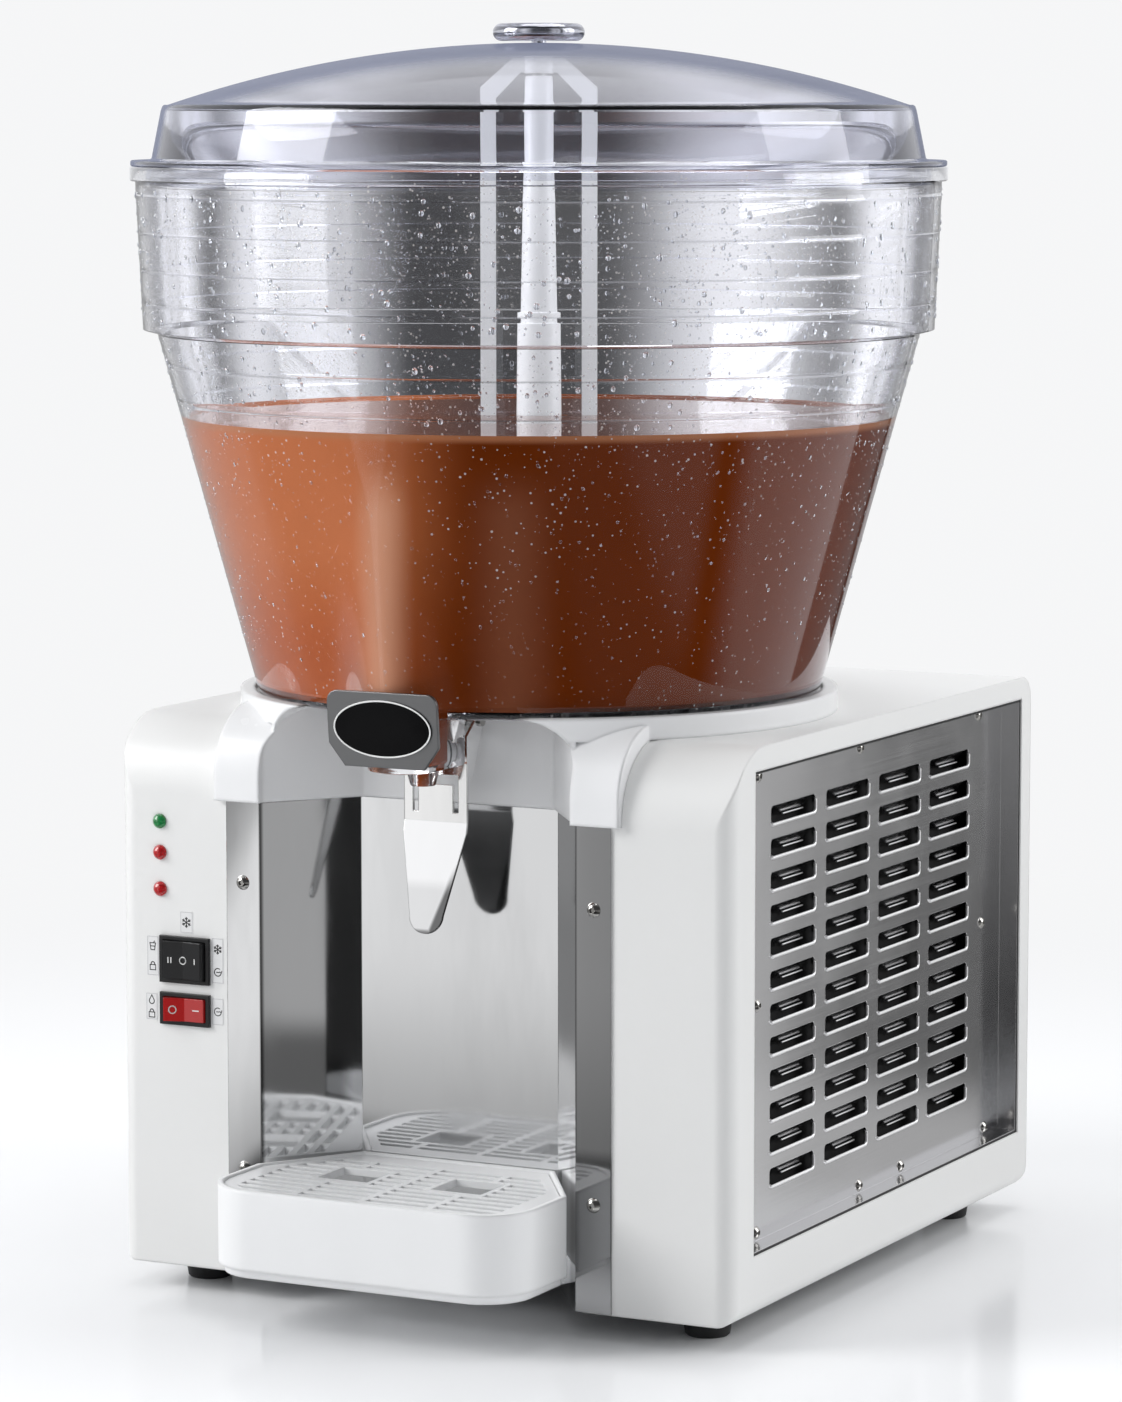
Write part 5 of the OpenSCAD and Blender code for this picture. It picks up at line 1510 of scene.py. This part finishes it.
@dataclass
class FrontMarks:
    """Labels on the left cheek and the marks on the two rockers."""

    labels: Tuple[Label, ...] = (
        Label((-141.3, 203.6), (8.0, 12.0), (Sign.FLAKE,)),
        Label((-162.7, 183.9), (7.4, 22.0), (Sign.CUP, Sign.LOCK)),
        Label((-121.8, 184.0), (7.3, 25.0), (Sign.FLAKE, Sign.TURN)),
        Label((-163.6, 156.0), (7.4, 14.9), (Sign.DROP, Sign.LOCK)),
        Label((-122.0, 156.1), (7.4, 14.9), (Sign.TURN,)),
    )
    sheet: float = 0.15
    corner: float = 0.6
    margin: float = 0.5
    border_w: float = 0.22
    sign_share: float = 0.34
    sign_w: float = 0.5
    ink: float = 0.05
    mark_w: float = 0.6
    mark_half: float = 1.3
    mark_t: float = 0.07
    switch_x: float = -142.0
    pivot_y: float = 1.0
    rocker_r: float = 13.0
    rocker_reach: float = 6.0
    rocker_dish: float = 2.0
    mode_z: float = 183.0
    power_z: float = 156.0
    power_turn: float = 9.0

    def build_labels(self) -> None:
        """Makes the labels, their borders and their pictograms."""
        paper, border, ink = Draft(), Draft(), Draft()

        def lay(u: float, v: float, h: float) -> Vector:
            """A point on the labels' face."""
            return row(u, -self.sheet - h, v)

        for label in self.labels:
            (x, z), (w, h) = label.centre, label.size
            outline: List[Pair] = []
            inner: List[Pair] = []
            for quarter, (sx, sz) in enumerate(((1, 1), (-1, 1), (-1, -1), (1, -1))):
                reach, r = (sx * w / 2, sz * h / 2), self.corner
                turn = 90 * quarter
                outline += arc((x + reach[0] - sx * r, z + reach[1] - sz * r), r, turn, turn + 90, 3)
                inner.append((x + reach[0] - sx * self.margin, z + reach[1] - sz * self.margin))
            sheet = [[row(u, y, v) for u, v in outline] for y in (-0.01, -self.sheet)]
            paper.rings(sheet, around=False, capped=True)
            border.stroke(inner, self.border_w, self.ink, lay, closed=True)
            room = h / len(label.signs)
            unit = min(w, room) * self.sign_share
            for i, sign in enumerate(label.signs):
                middle = z + h / 2 - room * (i + 0.5)
                for stroke in sign_strokes(sign):
                    line = [(x + unit * u, middle + unit * v) for u, v in stroke]
                    ink.stroke(line, self.sign_w, self.ink, lay)
        paper.make("switch_labels", LABEL_WHITE, "cabinet")
        border.make("label_borders", LABEL_EDGE, "cabinet")
        ink.make("label_signs", LABEL_INK, "cabinet")

    def rocker_lay(self, z0: float, turn: float) -> Callable[..., Vector]:
        """Lays marks on a rocker's dished face.

        Args:
            z0: Height of the rocker's middle.
            turn: Angle at which it rests, in degrees.

        Returns:
            A function from a place on the face and a height above it to a point.
        """
        cos, sin = math.cos(math.radians(turn)), math.sin(math.radians(turn))

        def lay(u: float, v: float, h: float) -> Vector:
            """A point on the rocker's face."""
            y = -self.rocker_reach + self.rocker_dish * (1 - abs(u) / self.rocker_r) - h + 0.02
            return row(self.switch_x + u * cos - y * sin, self.pivot_y + u * sin + y * cos, z0 + v)

        return lay

    def build_rockers(self) -> None:
        """Makes the marks on both rockers."""
        bars = [[(x, -self.mark_half), (x, self.mark_half)] for x in (-8.6, -6.9, 7.8)]
        mode = (bars[0], bars[1], arc((0.0, 0.0), 1.9, 0, 360, 20), bars[2])
        power = (arc((-6.6, 0.0), 2.0, 0, 360, 20), [(5.2, 0.0), (8.6, 0.0)])
        faces = (
            ("mode_marks", mode, "mode_rocker", self.rocker_lay(self.mode_z, 0.0)),
            ("power_marks", power, "power_rocker", self.rocker_lay(self.power_z, self.power_turn)),
        )
        for name, strokes, body, lay in faces:
            marks = Draft()
            for line in strokes:
                marks.stroke(line, self.mark_w, self.mark_t, lay)
            marks.make(name, WHITE_LINE, body)

    def build(self) -> None:
        """Makes all marks."""
        self.build_labels()
        self.build_rockers()


@dataclass
class BadgeOval:
    """The bare glossy oval on the badge, with a thin white rim."""

    half: Pair = (29.0, 15.5)
    rim: float = 0.9
    rim_inset: float = 0.2
    face_inset: float = 0.3
    crown: float = 0.54
    steps: int = 96

    def place(self) -> Callable[..., Vector]:
        """Finds the badge's plane from the plate that carries the oval.

        Returns:
            A function from a place on the oval and a height above it to a point.
        """
        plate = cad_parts["badge_inlay"].data
        points = [v.co for v in plate.vertices]
        middle = sum(points, Vector()) / len(points)
        normal = max(plate.polygons, key=lambda p: -p.normal.y).normal.normalized()
        up = normal.cross(Vector((-1, 0, 0))).normalized()
        if up.z < 0:
            up = -up
        base = max(points, key=lambda p: p.dot(normal)).dot(normal)
        middle = middle + normal * (base - middle.dot(normal))

        def lay(u: float, v: float, h: float) -> Vector:
            """A point on the oval."""
            return middle + (Vector((1, 0, 0)) * u + up * v + normal * h) * MM

        return lay

    def build(self) -> None:
        """Makes the oval and its rim."""
        lay = self.place()
        turns = [2 * math.pi * k / self.steps for k in range(self.steps)]

        def loop(inset: float, h: float) -> List[Vector]:
            """One loop of the oval, drawn in by an inset."""
            a, b = self.half[0] - inset, self.half[1] - inset
            return [lay(a * math.cos(t), b * math.sin(t), h) for t in turns]

        face = Draft()
        loops = [loop(self.face_inset, -0.8)]
        for share in (0.0, 0.02, 0.1, 0.25, 0.45, 0.65, 0.85, 0.97):
            inset = self.face_inset + share * (self.half[1] - 0.35)
            loops.append(loop(inset, self.crown * math.sin(share * math.pi / 2)))
        face.rings(loops, around=False, capped=True)
        oval = face.make("badge_oval", BLACK_GLOSS, "bowl")
        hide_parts("badge_inlay")
        edge = Draft()
        section = ((0.1, -0.1), (0.0, 0.2), (0.3, 0.35), (0.7, 0.35), (1.0, 0.2), (0.9, -0.1))
        edge.rings([loop(self.rim_inset + self.rim * share, h) for share, h in section])
        edge.make("badge_oval_rim", WHITE_LINE, "bowl")


# Studio


@dataclass(frozen=True)
class FloorPaper(Finish):
    """The pale floor, even far off, with painted reflections: a studio's darks and lights for shiny
    surfaces.

    A front tone has a place across, as a mirror that faces the front shows it, and a grey.
    """

    sheet: Triple = (0.86, 0.865, 0.875)
    ior: float = 1.25
    mirrored_right: Triple = (0.892, -0.452, 0.0)
    front_tones: Tuple[Pair, ...] = (
        (-0.36, 0.3), (-0.28, 0.25), (-0.135, 0.3), (-0.115, 0.97), (-0.07, 0.97), (-0.03, 0.88),
        (0.13, 0.86), (0.155, 0.27), (0.24, 0.24), (0.29, 0.0),
    )
    darkest: float = 0.025

    def shade(self, tree: Tree) -> Wire:
        """Builds the surface shader.

        Args:
            tree: The material's nodes.

        Returns:
            The shader.
        """
        place = tree.spot()
        reach = tree.add("ShaderNodeVectorMath", {"operation": "LENGTH"}, {0: place}, 1)
        sheet = tree.principled({
            "Base Color": opaque(self.sheet),
            "Roughness": 0.1 + tree.noise(place, 3.0) * 0.06,
            "IOR": self.ior,
        })
        away = reach.step(0.45, 1.5) * tree.ray("Is Camera Ray", "Is Transmission Ray")
        plain = tree.blend(away, sheet, tree.glow(PAPER))
        ahead = tree.ray("Is Transmission Ray") * (1.0 - place.axis(1).step(-0.6, -0.3))
        shiny = tree.mirror_ray().most(ahead) * reach.step(0.25, 0.42)
        # Painted reflections: near the part, shiny surfaces see these painted tones.
        return tree.blend(shiny, plain, tree.glow(self.mirrored_tone(tree, place)))

    def mirrored_tone(self, tree: Tree, place: Wire) -> Wire:
        """Painted reflections: the darks and lights of a studio that shiny surfaces pick up from the floor.

        Args:
            tree: The floor's nodes.
            place: Where on the floor, in metres.

        Returns:
            A grey tone.
        """
        x, y = place.axis(0), place.axis(1)
        # Ahead of the part: seen in the niche, the lever and other steel that faces the front.
        aside = place.along(self.mirrored_right)
        stops = [(0.5 + at, (tone, tone, tone, 1.0)) for at, tone in self.front_tones]
        front = tree.add("ShaderNodeValToRGB", {"stops": stops}, {0: aside + 0.5})
        near = y - (1.0 - aside.step(-0.06, -0.03)) * 0.18
        front = front * ((0.0 - near).step(0.4, 1.2) * 0.5 + 0.5) * (1.0 - near.step(-0.58, -0.45))
        # To the right of the part: one tone towards the front, and others towards the back for the panel.
        right = (x.step(0.35, 0.5) * 0.1 + x.step(0.66, 0.8) * 0.3) * (1.0 - y.step(-0.2, -0.05))
        lane = 1.0 - (y - x * 2.25).step(-0.5, -0.46)
        close = (1.0 - y.step(0.45, 0.7)) * (1.0 - x.step(0.42, 0.55)) * 0.5
        side = (lane * 0.56 + 0.14).most(close) * y.step(-0.05, 0.2) * x.step(-0.1, 0.2)
        # To the left of the part.
        left = (1.0 - x.step(-0.3, -0.1)) * y.step(-0.45, -0.2) * 0.4
        return front + right + side + left + self.darkest


@dataclass(frozen=True)
class BackingCard(Finish):
    """A dark card with pale strips; each strip has a place across, a half width and a brightness."""

    middle: float
    dark: float = 0.07
    pale: Triple = (1.0, 1.0, 1.04)
    strips: Tuple[Triple, ...] = (
        (-0.165, 0.075, 0.7), (-0.22, 0.035, 0.7), (0.135, 0.095, 0.92),
        (0.275, 0.06, 1.5), (-0.3, 0.05, 1.5),
    )

    def shade(self, tree: Tree) -> Wire:
        """Builds the surface shader.

        Args:
            tree: The material's nodes.

        Returns:
            The shader.
        """
        side = tree.spot().along(SCREEN_RIGHT) - self.middle
        bright: Value = self.dark
        for centre, half, power in self.strips:
            bright = bright + side.near(centre, half) * power
        bands = tree.noise(tree.spot((14.0, 14.0, 0.6)), 1.0)
        return tree.glow(tree.mix(bright * (0.8 + bands * 0.4), (0.0, 0.0, 0.0), self.pale))


@dataclass(frozen=True)
class Lamp:
    """One soft lamp: where it hangs and aims in metres, its width and height, and its watts."""

    name: str
    spot: Triple
    aim: Triple
    size: Pair
    power: float

    def build(self) -> None:
        """Makes the lamp."""
        data = bpy.data.lights.new(self.name, "AREA")
        data.shape = "RECTANGLE"
        data.size, data.size_y = self.size
        data.energy = self.power
        aim(placed(self.name, data), Vector(self.spot), Vector(self.aim))


def aim(thing: bpy.types.Object, spot: Vector, target: Vector) -> None:
    """Puts a lamp or a camera in its place.

    Args:
        thing: The lamp or camera.
        spot: Where it goes.
        target: What it points at.
    """
    thing.location = spot
    thing.rotation_mode = "QUATERNION"
    thing.rotation_quaternion = (target - spot).to_track_quat("-Z", "Y")


def card(name: str, corners: Sequence[Vector], finish: Finish) -> bpy.types.Object:
    """Makes a flat piece of the studio.

    Args:
        name: Its name.
        corners: Its four corners in order.
        finish: Its finish.

    Returns:
        The object.
    """
    mesh = bpy.data.meshes.new(name)
    mesh.from_pydata([tuple(corner) for corner in corners], [], [(0, 1, 2, 3)])
    mesh.materials.append(finish.material())
    made = placed(name, mesh)
    return made


@dataclass
class Studio:
    """Floor, light and camera; the camera's places are cabinet millimetres, the others metres."""

    eye: Triple = (1278.2, -2352.5, 641.9)
    target: Triple = (-0.6, 170.3, 313.9)
    lens: float = 131.64
    sensor: float = 36.0
    far: float = 30.0
    backing_half: float = 0.4
    backing_z: Pair = (0.25, 1.1)
    backing_away: float = 0.75
    lamps: Tuple[Lamp, ...] = (
        Lamp("key", (-1.85, -1.35, 1.5), (0.0, 0.0, 0.4), (1.4, 1.6), 47.5),
        Lamp("fill", (1.95, 0.8, 1.2), (0.0, 0.0, 0.35), (1.2, 1.6), 21.0),
        Lamp("top", (0.1, 0.3, 2.4), (0.0, 0.0, 0.4), (1.6, 1.6), 24.0),
    )

    def build_camera(self) -> None:
        """Makes the camera at the photograph's angle."""
        data = bpy.data.cameras.new("camera")
        data.lens = self.lens
        data.sensor_fit = "AUTO"
        data.sensor_width = self.sensor
        data.clip_end = 100.0
        bpy.context.scene.camera = placed("camera", data)
        aim(bpy.context.scene.camera, row(*self.eye), row(*self.target))

    def build_floor(self) -> None:
        """Makes the floor."""
        corners = [Vector((x, y, 0)) * self.far for x, y in ((-1, -1), (1, -1), (1, 1), (-1, 1))]
        card("floor", corners, FloorPaper("floor_paper"))

    def build_world(self) -> None:
        """Makes a pale surround that lights softly and is dark on the camera's side for shiny surfaces."""
        world = bpy.data.worlds.new("surround")
        bpy.context.scene.world = world
        tree = Tree(world)
        way = tree.add("ShaderNodeTexCoord", output="Generated")
        front = way.along((0.45, -0.89, 0.0))
        tone = tree.mix(front.step(-0.2, 0.6), (0.95, 0.955, 0.97), (0.07, 0.07, 0.072))
        window = way.along((-0.449, -0.852, 0.271)).step(0.9, 0.97)
        tone = tree.mix(window, tone, (0.98, 0.985, 1.0))
        shown, soft, room = (
            tree.add("ShaderNodeBackground", None, {"Color": opaque(color), "Strength": strength})
            for color, strength in ((PAPER, 1.0), ((0.95, 0.97, 1.0), 0.46), (tone, 1.0))
        )
        both = tree.blend(tree.ray("Is Camera Ray", "Is Transmission Ray"), soft, shown)
        ahead = tree.ray("Is Transmission Ray") * front.step(-0.1, 0.3)
        whole = tree.blend(tree.mirror_ray().most(ahead), both, room)
        tree.add("ShaderNodeOutputWorld", None, {"Surface": whole})

    def build_backing(self) -> None:
        """Makes the dark backing with pale strips that only clear walls show."""
        across, (low, high) = Vector(SCREEN_RIGHT), self.backing_z
        middle = row(0.0, AXIS_Y, 0.0) + Vector(SCREEN_AWAY) * self.backing_away
        left, right = (middle + across * u for u in (-self.backing_half, self.backing_half))
        ends = ((left, low), (right, low), (right, high), (left, high))
        corners = [p + Vector((0, 0, z)) for p, z in ends]
        made = card("backing", corners, BackingCard("backing", middle.dot(across)))
        made.visible_camera = False
        made.visible_diffuse = False
        made.visible_shadow = False
        made.visible_glossy = False

    def build(self) -> None:
        """Makes the whole studio."""
        bpy.context.scene.view_settings.view_transform = "Standard"
        self.build_camera()
        self.build_floor()
        self.build_world()
        self.build_backing()
        for lamp in self.lamps:
            lamp.build()


def dress_nodes() -> None:
    """Gives each carried-over solid its finish."""
    for finish, names in NODE_FINISHES.items():
        for name in names:
            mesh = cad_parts[name].data
            mesh.materials.clear()
            mesh.materials.append(finish.material())
            LOG.info("%s: %s", name, finish.name)


def main() -> None:
    """Builds the scene."""
    logging.basicConfig(level=logging.INFO, format="%(name)s: %(message)s")
    Studio().build()
    dress_nodes()
    Bowl().build()
    Lid().build()
    PanelTrim().build()
    FrontMarks().build()
    BadgeOval().build()


if __name__ == "__main__":
    main()
